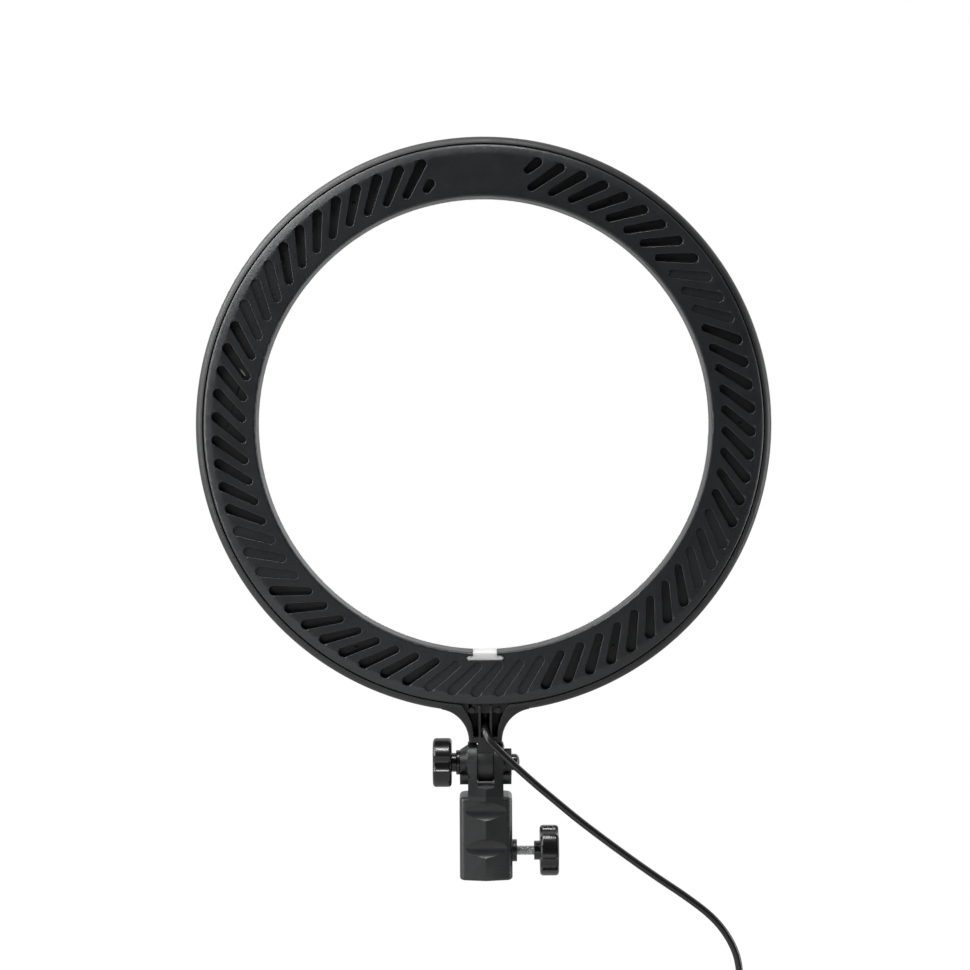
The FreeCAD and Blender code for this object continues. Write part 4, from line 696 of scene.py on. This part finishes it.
RING_TREE = ring_tree()
ROW_TREE = row_tree()


def ring_of(name, item, count, radius, first_angle, seat, slot, node, material=None):
    """A piece of like items round the ring, standing on a plane, their fronts towards +Y."""
    mesh = repeated(RING_TREE, item, material or slot, Count=count, Radius=radius * MM,
                    First_Angle=math.radians(first_angle),
                    Centre=RING_CENTRE + Vector((0, seat * MM, 0)))
    return show(name, mesh, "ring_head", slot, (node,))


# The cord. Its points are listed one by one, from the neck to the plug.

CORD_DIAMETER = 3.8 * MM
CORD_AT_NECK = (
    (0.0, 1.0, 83.7), (0.0, 1.0, 80.9), (-0.3, -3.0, 79.4),
    (-0.5, -8.0, 77.4), (1.3, -11.8, 73.4), (5.6, -13.2, 69.0),
    (10.4, -13.8, 64.3), (17.0, -14.0, 58.2), (26.0, -13.8, 50.1),
    (36.1, -13.8, 41.6),
)
CORD_DROP = (
    (48.2, -13.8, 31.42), (66.0, -13.5, 17.8), (86.5, -13.2, 2.9),
    (104.0, -12.9, -8.8), (117.8, -12.6, -19.6), (126.4, -12.3, -31.2),
    (131.0, -12.0, -43.6), (131.0, -12.0, -52.8),
)
CORD_LINK = (
    (131.0, -12.0, -128.8), (131.0, -12.0, -133.8), (131.6, -14.6, -139.8),
    (132.2, -17.6, -146.2), (132.4, -18.6, -153.2),
)
CORD_TAIL = (
    (132.4, -5.4, -164.8), (132.0, -6.2, -170.2), (131.8, -7.0, -175.4),
    (131.8, -7.0, -179.8),
)
COIL_START = Vector((132.4, -18.6, -160.8))
COIL_INNER_RADIUS = 14.4
COIL_SPACING = 4.4
COIL_TURNS_PER_LAYER = 3
COIL_LAYERS = 4
COIL_POINTS_PER_TURN = 16


def metres(points):
    return [Vector(point) * MM for point in points]


def spline_curve(name, points, diameter=0.0):
    """A NURBS curve through given control points."""
    data = bpy.data.curves.new(name, "CURVE")
    data.dimensions = "3D"
    spline = data.splines.new("NURBS")
    spline.points.add(len(points) - 1)
    for point, place in zip(spline.points, points):
        point.co = (*place, 1)
    spline.order_u = 3
    spline.use_endpoint_u = True
    spline.resolution_u = 8
    data.resolution_u = 8
    data.bevel_depth = diameter / 2
    data.bevel_resolution = 5
    data.use_fill_caps = True
    return placed(name, data)


def spline_path(points):
    """Points read along the NURBS curve."""
    curve = spline_curve("path", points)
    mesh = evaluated_mesh(curve)
    path = [vertex.co.copy() for vertex in mesh.vertices]
    bpy.data.objects.remove(curve)
    bpy.data.meshes.remove(mesh)
    return path


def path_length(path):
    return sum((b - a).length for a, b in zip(path, path[1:]))


def tube_mesh(name, path, diameter, sides=24):
    """A round tube along a path, with closed ends and no twist."""
    shape = bmesh.new()
    rings = []
    across = Vector((1, 0, 0))
    for index, spot in enumerate(path):
        before, after = path[max(index - 1, 0)], path[min(index + 1, len(path) - 1)]
        along = (after - before).normalized()
        across = (across - along * across.dot(along)).normalized()
        rings.append([shape.verts.new(spot + outwards * diameter / 2)
                      for outwards in around(across, along.cross(across), sides)])
    skinned(shape, rings, capped=True)
    return finished_mesh(name, shape, 60.0)


def coil_points():
    """The coil's control points: layers that spiral in and out, from nine o'clock down."""
    outer = COIL_INNER_RADIUS + COIL_SPACING * COIL_TURNS_PER_LAYER
    half_depth = COIL_SPACING * (COIL_LAYERS - 1) / 2
    centre = COIL_START + Vector((outer, half_depth, 0))
    turns = COIL_TURNS_PER_LAYER * COIL_LAYERS
    # A NURBS line cuts inside its control points, so they stand a little further out.
    outset = 1 / math.cos(math.pi / COIL_POINTS_PER_TURN)
    points = []
    for index in range(1, turns * COIL_POINTS_PER_TURN):
        turn = index / COIL_POINTS_PER_TURN
        phase = turn % (2 * COIL_TURNS_PER_LAYER)
        inward = min(phase, 2 * COIL_TURNS_PER_LAYER - phase)
        radius = (outer - COIL_SPACING * inward) * outset
        climbs = 0.0
        for layer in range(1, COIL_LAYERS):
            share = min(max((turn - layer * COIL_TURNS_PER_LAYER + 0.25) / 0.5, 0.0), 1.0)
            climbs += (1 - math.cos(math.pi * share)) / 2
        angle = math.pi + 2 * math.pi * turn
        points.append(centre + Vector((radius * math.cos(angle),
                                       COIL_SPACING * climbs - half_depth,
                                       radius * math.sin(angle))))
    return [COIL_START, *points, centre + Vector((-outer, half_depth, 0))]


def make_upper_cord():
    """The stretch that the photograph shows, from the neck to the controller."""
    points = metres(CORD_AT_NECK + CORD_DROP)
    path = spline_path(points)
    mesh = tube_mesh("upper_cord", path, CORD_DIAMETER)
    cord = show("upper_cord", mesh, None, "cord_black", ("cord_at_neck", "cord_drop"))
    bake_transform(cord)


def make_lower_cord():
    """The put-away length, from the controller through the coil to the plug."""
    points = metres([*CORD_LINK, *coil_points(), *CORD_TAIL])
    cord = spline_curve("lower_cord", points, CORD_DIAMETER)
    cord.data.materials.append(MATERIALS["cord_black"])
    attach(cord, "bracket")
    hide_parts("cord_link", "cord_coil", "cord_tail")
    path_length(spline_path(points))


# The controller, the strap and the plug, which hang in line with the cord.

CONTROLLER_TOP = Vector((131.0, -12.0, -64.8))
CONTROLLER_LENGTH = 52.0
BUTTONS = {
    "power_button": -74.3,
    "brighter_button": -85.3,
    "dimmer_button": -96.3,
    "colour_button": -107.3,
}
BUTTON_TOP = -18.3
BUTTON_PROFILE = (
    (0.30, 0), (0.26, 1.6), (0.12, 2.6), (0.0, 3.0), (0.08, 3.35), (0.35, 3.6),
    (2.25, 3.6), (2.25, 4.5), (3.05, 4.5), (3.05, 1.3), (4.8, 1.3), (4.8, 0),
)
SIGN_BASE = 0.45
SIGN_RISE = 0.35
SIGN_STROKE = 0.5
SIGN_REACH = 1.7
RELIEF_LENGTH = 12.0
RELIEF_WIDE = 3.4
RELIEF_NARROW = 2.5
RELIEF_RIBS = 5
RELIEF_FIRST_RIB = 3.8
RELIEF_RIB_PITCH = 1.6
STRAP_THICKNESS = 1.2 * MM
STRAP_OVERLAP = 0.22
STRAP_STEPS = 120
STRAP_SQUARENESS = 5.0
# The strap's end lifts by a share of its reach, from this share of its first turn on.
STRAP_LIFT = 0.13
STRAP_LIFT_START = 0.93
PLUG_TOP = Vector((131.8, -7.0, -191.8))
# The plug's body from its top down: the share of its length, then that of its width.
PLUG_STATIONS = (
    (0.0, 0.60), (0.012, 0.70), (0.05, 0.86), (0.12, 0.97), (0.20, 1.0), (0.34, 0.975),
    (0.50, 0.95), (0.66, 0.97), (0.82, 1.0), (0.975, 1.0), (0.992, 0.985), (1.0, 0.96),
)
PLUG_SQUARENESS = 4.2
PLUG_SIDES = 64
PLUG_RIDGES = 5
PLUG_RIDGE_PITCH = 2.2
BLADE_HOLE_RADIUS = 1.6
BLADE_HOLE_HEIGHT = 4.5


def make_relief(node, start, direction):
    """A flexible sleeve: a tapered core with ribs that shrink towards its narrow end."""
    core = lathe("core", ((0, 0), (0, RELIEF_WIDE), (2.2, RELIEF_WIDE - 0.1), (2.6, 2.75),
                          (RELIEF_LENGTH - 0.2, 2.05), (RELIEF_LENGTH, 1.9),
                          (RELIEF_LENGTH, 0)), start, direction)
    rib = lathe("rib", ((-0.55, 0), (-0.55, RELIEF_WIDE - 0.5), (-0.35, RELIEF_WIDE - 0.15),
                        (0.35, RELIEF_WIDE - 0.15), (0.55, RELIEF_WIDE - 0.5), (0.55, 0)),
                (0, 0, 0), direction, 40)
    along = Vector(direction)
    ribs = repeated(ROW_TREE, rib, "relief_black", Count=RELIEF_RIBS,
                    Start=(Vector(start) + along * RELIEF_FIRST_RIB) * MM,
                    Step=along * RELIEF_RIB_PITCH * MM,
                    End_Scale=RELIEF_NARROW / RELIEF_WIDE + 0.06)
    mesh = joined(node, core, ribs)
    mesh.materials.clear()
    show(node + "_piece", mesh, "bracket", "relief_black", (node,))


def sign_ring(start, end, steps):
    outer = arc(SIGN_REACH, start, end, steps)
    return outer + list(reversed(arc(SIGN_REACH - SIGN_STROKE, start, end, steps)))


def sign_outlines(name):
    """The outlines of a button's plain sign, in mm about the button's middle."""
    half, reach = SIGN_STROKE / 2, SIGN_REACH
    return {
        "power_button": [sign_ring(125, 415, 28), bar(-half, 0.4, half, reach + 0.2)],
        "brighter_button": [bar(-reach, -half, reach, half), bar(-half, half, half, reach),
                            bar(-half, -reach, half, -half)],
        "dimmer_button": [bar(-reach, -half, reach, half)],
        "colour_button": [sign_ring(90, 270, 20), arc(reach, -90, 90, 20)],
    }[name]


def make_buttons():
    x = CONTROLLER_TOP.x
    for name, level in BUTTONS.items():
        mesh = lathe(name, BUTTON_PROFILE, (x, BUTTON_TOP, level), (0, 1, 0))
        show(name + "_cap", mesh, name, "button_grey", (name,))
        shape = bmesh.new()
        for outline in sign_outlines(name):
            extruded(shape, outline, lambda u, v, up: Vector(
                (x + u, BUTTON_TOP + SIGN_BASE - SIGN_RISE * up, level + v)) * MM)
        show(name + "_sign", finished_mesh("sign", shape), name, "button_grey",
             material="icon_white")


def make_controller():
    for node in ("controller_back_case", "controller_front_case"):
        dressed_node(node, "bracket", "case_black", 0.3)
    dressed_node("controller_board", "bracket", "board_green", 0.05)
    dressed_node("tact_switches", "bracket", "switch_black", 0.2)
    low_end = CONTROLLER_TOP - Vector((0, 0, CONTROLLER_LENGTH))
    make_relief("upper_strain_relief", CONTROLLER_TOP, (0, 0, 1))
    make_relief("lower_strain_relief", low_end, (0, 0, -1))
    make_buttons()


def make_strap():
    """A strap once round the coil's turns at their top, with its end laid over its start."""
    low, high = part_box("coil_tie")
    middle, size = (low + high) / 2, high - low
    half_y, half_z = (size.y - STRAP_THICKNESS) / 2, (size.z - STRAP_THICKNESS) / 2

    def spot(turn):
        side, up = squarish(2 * math.pi * turn - 0.6 * math.pi, STRAP_SQUARENESS)
        share = min(max((turn - STRAP_LIFT_START) / (1 - STRAP_LIFT_START), 0.0), 1.0)
        return Vector((0, half_y * side, half_z * up)) * (1 + STRAP_LIFT * share)

    section = ((-1, -0.3), (-0.94, -0.5), (0.94, -0.5), (1, -0.3), (1, 0.3), (0.94, 0.5),
               (-0.94, 0.5), (-1, 0.3))
    shape = bmesh.new()
    rings = []
    for step in range(STRAP_STEPS + 1):
        turn = (1 + STRAP_OVERLAP) * step / STRAP_STEPS
        along = (spot(turn + 0.002) - spot(turn - 0.002)).normalized()
        outwards = Vector((0, along.z, -along.y))
        if outwards.dot(spot(turn)) < 0:
            outwards = -outwards
        rings.append([
            shape.verts.new(middle + spot(turn) + outwards * up * STRAP_THICKNESS
                            + Vector((size.x / 2 * across, 0, 0)))
            for across, up in section])
    skinned(shape, rings, capped=True)
    show("coil_strap", finished_mesh("coil_strap", shape, 50.0), "bracket", "tie_fabric",
         ("coil_tie",))


def make_plug_grip():
    """The plug's body: a rounded block, waisted for the fingers."""
    low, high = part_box("plug_grip")
    middle, half = (low + high) / 2, (high - low) / 2
    shape = bmesh.new()
    rings = []
    for share, scale in PLUG_STATIONS:
        ring = []
        for step in range(PLUG_SIDES):
            side, up = squarish(2 * math.pi * step / PLUG_SIDES, PLUG_SQUARENESS)
            ring.append(shape.verts.new((middle.x + half.x * side * scale,
                                         middle.y + half.y * up * scale,
                                         high.z - 2 * half.z * share)))
        rings.append(ring)
    skinned(shape, rings, capped=True)
    show("plug_grip_piece", finished_mesh("plug_grip", shape, 45.0), "bracket", "plug_black",
         ("plug_grip",))
    return middle, half.y / MM


def make_plug():
    make_relief("plug_strain_relief", PLUG_TOP, (0, 0, 1))
    middle, half_depth = make_plug_grip()
    ridge = joined("ridge", *(
        block_mesh("ridge", (13.0, 0.9, 0.9), (0, side * half_depth * 0.95, 0), 0.3)
        for side in (-1, 1)))
    step = Vector((0, 0, -PLUG_RIDGE_PITCH)) * MM
    ridges = repeated(ROW_TREE, ridge, "plug_black", Count=PLUG_RIDGES,
                      Start=middle - step * (PLUG_RIDGES - 1) / 2, Step=step, End_Scale=1.0)
    show("plug_ridges", ridges, "bracket", "plug_black", ("plug_grip",))
    dressed_node("plug_face", "bracket", "plug_black", 0.5)
    make_blades()


def make_blades():
    """Two flat blades, each with a hole near its tip."""
    low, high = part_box("plug_blades")
    middle = (low + high) / 2 / MM
    hole = lathe("hole", ((-12, 0), (-12, BLADE_HOLE_RADIUS), (12, BLADE_HOLE_RADIUS), (12, 0)),
                 (middle.x, middle.y, low.z / MM + BLADE_HOLE_HEIGHT), (1, 0, 0), 32)
    mesh = cut(rounded_edges(merged_copy("plug_blades"), 0.3), hole)
    mesh.materials.clear()
    show("plug_blades_piece", even_shading(mesh, 40.0), "bracket", "blade_nickel",
         ("plug_blades",))


# The bracket.

SCREW_RADIUS = 2.5
SCREW_PITCH = 0.8
SCOOP_RADIUS = 6.9
SCOOP_AXIS = 18.2
SCOOP_HEIGHTS = (36.3, 17.0)
SCOOP_BOTTOM = 11.0
# How near a scoop's surface counts as on it, before and after its outline is cut finer.
ON_SCOOP = 0.02
NEAR_SCOOP = 0.06
SCOOP_CUTS = 5
SHORT_EDGE = 0.3
WASHER_INNER = 4.3
WASHER_TOUCH = 4.08
EAR_INNER = 4.4
EAR_OUTER = 9.3
EAR_RISE_START = 62.0
EAR_TOP = 68.7
EAR_RISE = 1.6


def make_lock_screw():
    """The lock screw's thread, which shows between the socket and the knob."""
    low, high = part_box("lock_screw")
    mesh = threaded_rod("lock_screw", (low.x / MM, 0, LOCK_AXIS.z / MM), (1, 0, 0),
                        (high.x - low.x) / MM, SCREW_RADIUS, SCREW_PITCH)
    show("lock_screw_piece", mesh, "clamp_screw", "zinc_steel", ("lock_screw",))


def make_tilt_bolt():
    """The tilt bolt: a plain shank with a thread at each end."""
    low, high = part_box("tilt_bolt")
    length = (high.x - low.x) / MM
    mesh = threaded_rod("tilt_bolt", (high.x / MM, 0, PIVOT.z / MM), (-1, 0, 0), length,
                        SCREW_RADIUS, SCREW_PITCH, plain=(6.0, length - 11.0))
    show("tilt_bolt_piece", mesh, "clamp_bolt", "dark_steel", ("tilt_bolt",))


def off_scoop(vertex, side, height):
    """How far a vertex is from a scoop's surface, in mm."""
    spot = vertex.co / MM
    reach = math.hypot(spot.y - side * SCOOP_AXIS, spot.z - height)
    return abs(reach - SCOOP_RADIUS)


def clear_scoop(shape, side, height):
    """Takes out a scoop's wide facets and sets its outline on the true curve."""
    def on_scoop(part):
        return all(off_scoop(vertex, side, height) < ON_SCOOP for vertex in part.verts)

    facets = [face for face in shape.faces if on_scoop(face) and abs(face.normal.x) < 0.02
              and abs(face.calc_center_median().y) > SCOOP_BOTTOM * MM]
    bmesh.ops.delete(shape, geom=facets, context="FACES")
    outline = [(edge, edge.link_faces[0].normal.copy(), edge.verts[0].co.copy())
               for edge in shape.edges
               if len(edge.link_faces) == 1 and on_scoop(edge)
               and edge.calc_length() > SHORT_EDGE * MM]
    for edge, normal, point in outline:
        made = bmesh.ops.subdivide_edges(shape, edges=[edge], cuts=SCOOP_CUTS)
        for vertex in made["geom_inner"]:
            if not isinstance(vertex, bmesh.types.BMVert):
                continue
            drop = vertex.co.z / MM - height
            depth = math.sqrt(max(SCOOP_RADIUS ** 2 - drop ** 2, 0.0))
            vertex.co.y = side * (SCOOP_AXIS - depth) * MM
            if abs(normal.x) > 0.1:
                rest = vertex.co - point
                vertex.co.x = point.x - (normal.y * rest.y + normal.z * rest.z) / normal.x


def fill_scoop(shape, side, height, sharp_line):
    """Fills a scoop with narrow rows between the left and the right of its outline."""
    rim = set()
    for edge in shape.edges:
        if len(edge.link_faces) == 1:
            rim.update(vertex for vertex in edge.verts
                       if off_scoop(vertex, side, height) < NEAR_SCOOP)
    left, right = ([vertex for vertex in sorted(rim, key=lambda vertex: vertex.co.z)
                    if vertex.co.x * way > -0.001 * MM] for way in (-1, 1))
    one, other = 0, 0
    filled = set()
    while one < len(left) - 1 or other < len(right) - 1:
        go_left = other == len(right) - 1 or (
            one < len(left) - 1 and left[one + 1].co.z <= right[other + 1].co.z)
        corners = [left[one], right[other]]
        if go_left:
            one += 1
            corners.append(left[one])
        else:
            other += 1
            corners.append(right[other])
        if len(set(corners)) == 3:
            filled.add(shape.faces.new(corners))
    for edge in shape.edges:
        if len([face for face in edge.link_faces if face in filled]) == 1:
            edge[sharp_line] = 1


def fine_bracket(mesh):
    """The bracket with smooth scoops, and with ears whose tops come up close under the neck."""
    shape = opened(mesh)
    sharp_line = shape.edges.layers.int.new("sharp_line")
    for side in (-1, 1):
        for height in SCOOP_HEIGHTS:
            clear_scoop(shape, side, height)
            fill_scoop(shape, side, height, sharp_line)
    bmesh.ops.recalc_face_normals(shape, faces=shape.faces)
    for vertex in shape.verts:
        spot = vertex.co / MM
        if EAR_INNER < abs(spot.x) < EAR_OUTER and spot.z > EAR_RISE_START:
            share = min((spot.z - EAR_RISE_START) / (EAR_TOP - EAR_RISE_START), 1.0)
            vertex.co.z += EAR_RISE * share * share * (3 - 2 * share) * MM
    return closed(shape, mesh)


def thick_washers(mesh):
    """The washers, which fill the gap beside the tongue but for a hair."""
    for vertex in mesh.vertices:
        if abs(vertex.co.x) < WASHER_INNER * MM:
            vertex.co.x = math.copysign(WASHER_TOUCH * MM, vertex.co.x)
    return mesh


def make_bracket():
    dressed_node("stud_bracket", "bracket", "bracket_black", 0.0, 14.0, reshape=fine_bracket)
    dressed_node("lock_insert", "bracket", "brass", 0.15)
    dressed_node("tilt_nut", "bracket", "bracket_black", 0.35)
    dressed_node("nut_cap", "bracket", "knob_black", 0.2)
    dressed_node("bolt_flange", "bracket", "knob_black", 0.35)
    dressed_node("friction_washers", "bracket", "washer_fibre", reshape=thick_washers)
    dressed_node("tilt_knob", "tilt_knob", "knob_black", 0.15)
    dressed_node("lock_knob", "lock_knob", "knob_black", 0.15)
    make_lock_screw()
    make_tilt_bolt()


# The ring head.

# Each port: its radius and angle, then its slit's slant, shift, width and length.
PORTS = (
    (128.5, 167.4, -52.6, (-0.40, 0, 0.35), 0.16, 1.0),
    (138.8, 229.3, 15.5, (0, 0, -0.6), 0.08, 0.5),
)
PORT_RADIUS = 3.0
# The chords that true_circles cuts: their least radius and length, and their greatest
# length as a share of the radius. Past the greatest sag a point isn't on a known circle.
LEAST_CIRCLE = 115.0
SHORTEST_CHORD = 1.5
LONGEST_CHORD = 0.095
GREATEST_SAG = 0.15
COVER_RADIUS = 145.85
COVER_RIM = -8.2
TAB_STEM_HALF_WIDTH = 6.2
TAB_HALF_WIDTH = 9.65
TAB_CORNER = 0.9
TAB_INNER = 118.6
TAB_NEAR = 120.15
TAB_FAR = 122.35
TAB_BACK = -9.7
TAB_FRONT = 8.2
NECK_BACK = -7.4
NECK_HALF_WIDTH = 8.65
NECK_BOTTOM = 70.6
NECK_TOP = 92.0
NECK_FILLET_RADIUS = 16.8
NECK_FILLET_TOP = 71.65
LED_COUNT = 72
LED_RADII = {"cool": 128.5, "warm": 138.8}
MIDDLE_RADIUS = 133.65
# Each screw: its finish and first angle, then its head's radius and height and its shank's
# radius and length.
SCREWS = {
    "case_screws": ("zinc_steel", 30.0, 2.3, 1.6, 1.25, 4.0),
    "board_screws": ("dark_steel", 0.0, 1.9, 1.2, 1.0, 2.8),
}
SMALL_THREAD_PITCH = 0.5
SMALL_THREAD_DEPTH = 0.16
GROMMET_INNER = 1.9
GROMMET_WAIST = 2.75
GROMMET_LIP = 3.05


def ring_radius(spot):
    """A point's distance from the ring's axis."""
    return math.hypot(spot.x - RING_CENTRE.x, spot.z - RING_CENTRE.z)


def true_circles(mesh, cuts=4):
    """Cuts the ring's long chords into short ones and sets their points on the true circle."""
    shape = opened(mesh)
    chords = []
    for edge in shape.edges:
        start, end = (vertex.co for vertex in edge.verts)
        reach = ring_radius(start)
        same = abs(reach - ring_radius(end)) < 0.01 * MM and abs(start.y - end.y) < 0.01 * MM
        is_chord = SHORTEST_CHORD * MM < edge.calc_length() < LONGEST_CHORD * reach
        if same and is_chord and reach > LEAST_CIRCLE * MM:
            chords.append(edge)
    known = sorted({ring_radius(edge.verts[0].co) for edge in chords})
    old = set(shape.verts)
    bmesh.ops.subdivide_edges(shape, edges=chords, cuts=cuts, use_grid_fill=True)
    for vertex in shape.verts:
        if vertex in old:
            continue
        reach = ring_radius(vertex.co)
        target = min((value for value in known if value >= reach - 0.005 * MM),
                     default=reach)
        if target - reach > GREATEST_SAG * MM:
            continue
        offset = vertex.co - RING_CENTRE
        vertex.co.x = RING_CENTRE.x + offset.x * target / reach
        vertex.co.z = RING_CENTRE.z + offset.z * target / reach
    return closed(shape, mesh)


def on_neck_outline(start, end):
    """True for an edge of the neck's outer outline, on its back face."""
    middle = (start + end) / 2
    if abs(middle.y - NECK_BACK) > 0.05 or middle.z > NECK_TOP:
        return False
    if abs(middle.z - NECK_BOTTOM) < 0.05:
        return True
    rise = min(max(middle.z - NECK_FILLET_TOP, 0.0), NECK_FILLET_RADIUS)
    reach = math.sqrt(NECK_FILLET_RADIUS ** 2 - rise ** 2)
    side = NECK_HALF_WIDTH + NECK_FILLET_RADIUS - reach
    return abs(abs(middle.x) - side) < 0.4


def on_cover_rim(start, end):
    """True for an edge of the cover's outer rim, where it meets the housing's lip."""
    return all(abs(ring_radius(spot * MM) / MM - COVER_RADIUS) < 0.2
               and abs(spot.y - COVER_RIM) < 0.4 for spot in (start, end))


def slant_vector(degrees):
    """A unit vector in the ring's plane."""
    return Vector((math.cos(math.radians(degrees)), 0, math.sin(math.radians(degrees))))


def fine_housing(mesh):
    """The housing with true circles, its two floor ports narrowed to slits behind the vents."""
    mesh = true_circles(mesh)
    for radius, angle, slant, shift, width, length in PORTS:
        centre = RING_CENTRE / MM + slant_vector(angle) * radius
        along = slant_vector(slant)
        across = Vector((-along.z, 0, along.x))
        for vertex in mesh.vertices:
            offset = vertex.co / MM - centre
            offset.y = 0.0
            if abs(offset.length - PORT_RADIUS) > 0.05:
                continue
            spot = centre + Vector(shift) + along * offset.dot(along) * length
            spot += across * offset.dot(across) * width
            vertex.co.x = spot.x * MM
            vertex.co.z = spot.z * MM
    return mesh


def diffuser_with_tab(mesh):
    """The diffuser with the T-shaped tab that shows in the slot at the ring's bottom."""
    shape = opened(true_circles(mesh))
    half = [(TAB_STEM_HALF_WIDTH, -TAB_INNER), (TAB_STEM_HALF_WIDTH, -TAB_NEAR),
            (TAB_HALF_WIDTH - TAB_CORNER, -TAB_NEAR), (TAB_HALF_WIDTH, -TAB_NEAR - TAB_CORNER),
            (TAB_HALF_WIDTH, -TAB_FAR + TAB_CORNER), (TAB_HALF_WIDTH - TAB_CORNER, -TAB_FAR)]
    outline = [(-x, z) for x, z in half] + list(reversed(half))
    extruded(shape, outline, lambda u, v, up: RING_CENTRE + Vector(
        (u, TAB_BACK if up else TAB_FRONT, v)) * MM)
    bmesh.ops.recalc_face_normals(shape, faces=shape.faces)
    return closed(shape, mesh)


def make_ring_shells():
    dressed_node("ring_housing", "ring_head", "ring_black", 0.25, 45.0, 1.1, on_neck_outline,
                 fine_housing, edge_angle=58.0)
    dressed_node("rear_cover", "ring_head", "ring_black", 0.0, 50.0, 0.9, on_cover_rim,
                 true_circles, "cover_black")
    dressed_node("diffuser", "ring_head", "diffuser_white", 0.1, reshape=diffuser_with_tab)


def make_leds():
    """Each LED's moulded case, and the phosphor disc that sits on its face."""
    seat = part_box("cool_leds")[0].y / MM
    for name, radius in LED_RADII.items():
        case = block_mesh("case", (2.8, 0.7, 3.5), (0, 0.35, 0), 0.12, 1)
        well = lathe("well", ((0.70, 0), (0.70, 1.15), (0.80, 1.1), (0.80, 0)), (0, 0, 0),
                     (0, 1, 0), 20)
        slot, node = "led_" + name, name + "_leds"
        ring_of(name + "_led_cases", case, LED_COUNT, radius, 0, seat, slot, node, "led_case")
        ring_of(name + "_led_wells", well, LED_COUNT, radius, 0, seat, slot, node)


def make_resistors():
    node = "current_resistors"
    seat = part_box(node)[0].y / MM
    body = block_mesh("body", (1.5, 0.5, 2.3), (0, 0.3, 0), 0.08, 1)
    caps = joined("caps", *(block_mesh("cap", (1.6, 0.56, 0.5), (0, 0.29, side * 1.33), 0.08, 1)
                            for side in (-1, 1)))
    for name, mesh, finish in (("resistor_bodies", body, None),
                               ("resistor_ends", caps, "solder_tin")):
        ring_of(name, mesh, 12, MIDDLE_RADIUS, 15.0, seat, "resistor_black", node, finish)


def screw_mesh(head_radius, head_height, radius, length):
    """A pan-head screw along Y, its head up: a domed head with a cross, and a thread."""
    profile = ((-0.02, 0), (-0.02, head_radius), (head_height * 0.55, head_radius),
               (head_height * 0.85, head_radius * 0.86), (head_height, head_radius * 0.5),
               (head_height, 0))
    bit_width, bit_length = head_radius * 0.28, head_radius * 1.24
    bits = [block_mesh("bit", size, (0, head_height, 0)) for size in (
        (bit_length, head_height, bit_width), (bit_width, head_height, bit_length))]
    head = cut(lathe("head", profile, (0, 0, 0), (0, 1, 0), 28), *bits)
    pitch = SMALL_THREAD_PITCH
    grooves = [(-length, 0), (-length, radius - 0.4)]
    for turn in range(int(length / pitch)):
        base = -length + pitch * turn
        grooves += [(base + 0.3 * pitch, radius), (base + 0.8 * pitch, radius - SMALL_THREAD_DEPTH)]
    shank = lathe("shank", grooves + [(0, radius), (0, 0)], (0, 0, 0), (0, 1, 0), 20)
    return joined("screw", head, shank)


def make_screws():
    for node, (finish, first_angle, head_radius, head_height, *shank) in SCREWS.items():
        screw = screw_mesh(head_radius, head_height, *shank)
        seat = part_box(node)[1].y / MM - head_height
        ring_of(node + "_piece", screw, 6, MIDDLE_RADIUS, first_angle, seat, "zinc_steel", node,
                finish)


def connected_faces(shape):
    """The shape's faces in groups that hang together."""
    groups, seen = [], set()
    for face in shape.faces:
        if face in seen:
            continue
        group, queue = [], [face]
        seen.add(face)
        while queue:
            current = queue.pop()
            group.append(current)
            for edge in current.edges:
                fresh = [other for other in edge.link_faces if other not in seen]
                seen.update(fresh)
                queue.extend(fresh)
        groups.append(group)
    return groups


def make_wires():
    """The lead's three wires, each in its own colour."""
    mesh = merged_copy("inner_wires")
    shape = opened(mesh)
    groups = connected_faces(shape)
    groups.sort(key=lambda group: min(v.co.x for face in group for v in face.verts))
    for index, group in enumerate(groups):
        for face in group:
            face.material_index = index
    closed(shape, mesh)
    for colour in ("wire_red", "wire_white", "wire_yellow"):
        mesh.materials.append(MATERIALS[colour])
    smooth_by_angle(mesh)
    show("inner_wires_piece", mesh, "ring_head", "wire_mixed", ("inner_wires",))


def make_grommet():
    """The rubber sleeve that grips the cord in the neck, lipped at both ends."""
    low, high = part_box("cord_grommet")
    length = (high.z - low.z) / MM
    profile = ((0, GROMMET_INNER), (0, 2.8), (0.25, GROMMET_LIP), (0.9, GROMMET_LIP),
               (1.1, GROMMET_WAIST), (1.5, GROMMET_WAIST), (1.7, GROMMET_LIP),
               (length - 0.3, GROMMET_LIP), (length, 2.8), (length, GROMMET_INNER))
    mesh = lathe("cord_grommet", profile, (0, 1.0, low.z / MM), (0, 0, 1), hollow=True)
    show("cord_grommet_piece", mesh, "ring_head", "relief_black", ("cord_grommet",))


def make_ring_inside():
    dressed_node("led_board", "ring_head", "board_white")
    dressed_node("board_connector", "ring_head", "connector_white", 0.3)
    dressed_node("inner_lead", "ring_head", "cord_black", 0.1)
    make_leds()
    make_resistors()
    make_screws()
    make_wires()
    make_grommet()


make_camera()
make_studio()
make_controller()
make_strap()
make_plug()
make_upper_cord()
make_lower_cord()
make_bracket()
make_ring_shells()
make_ring_inside()
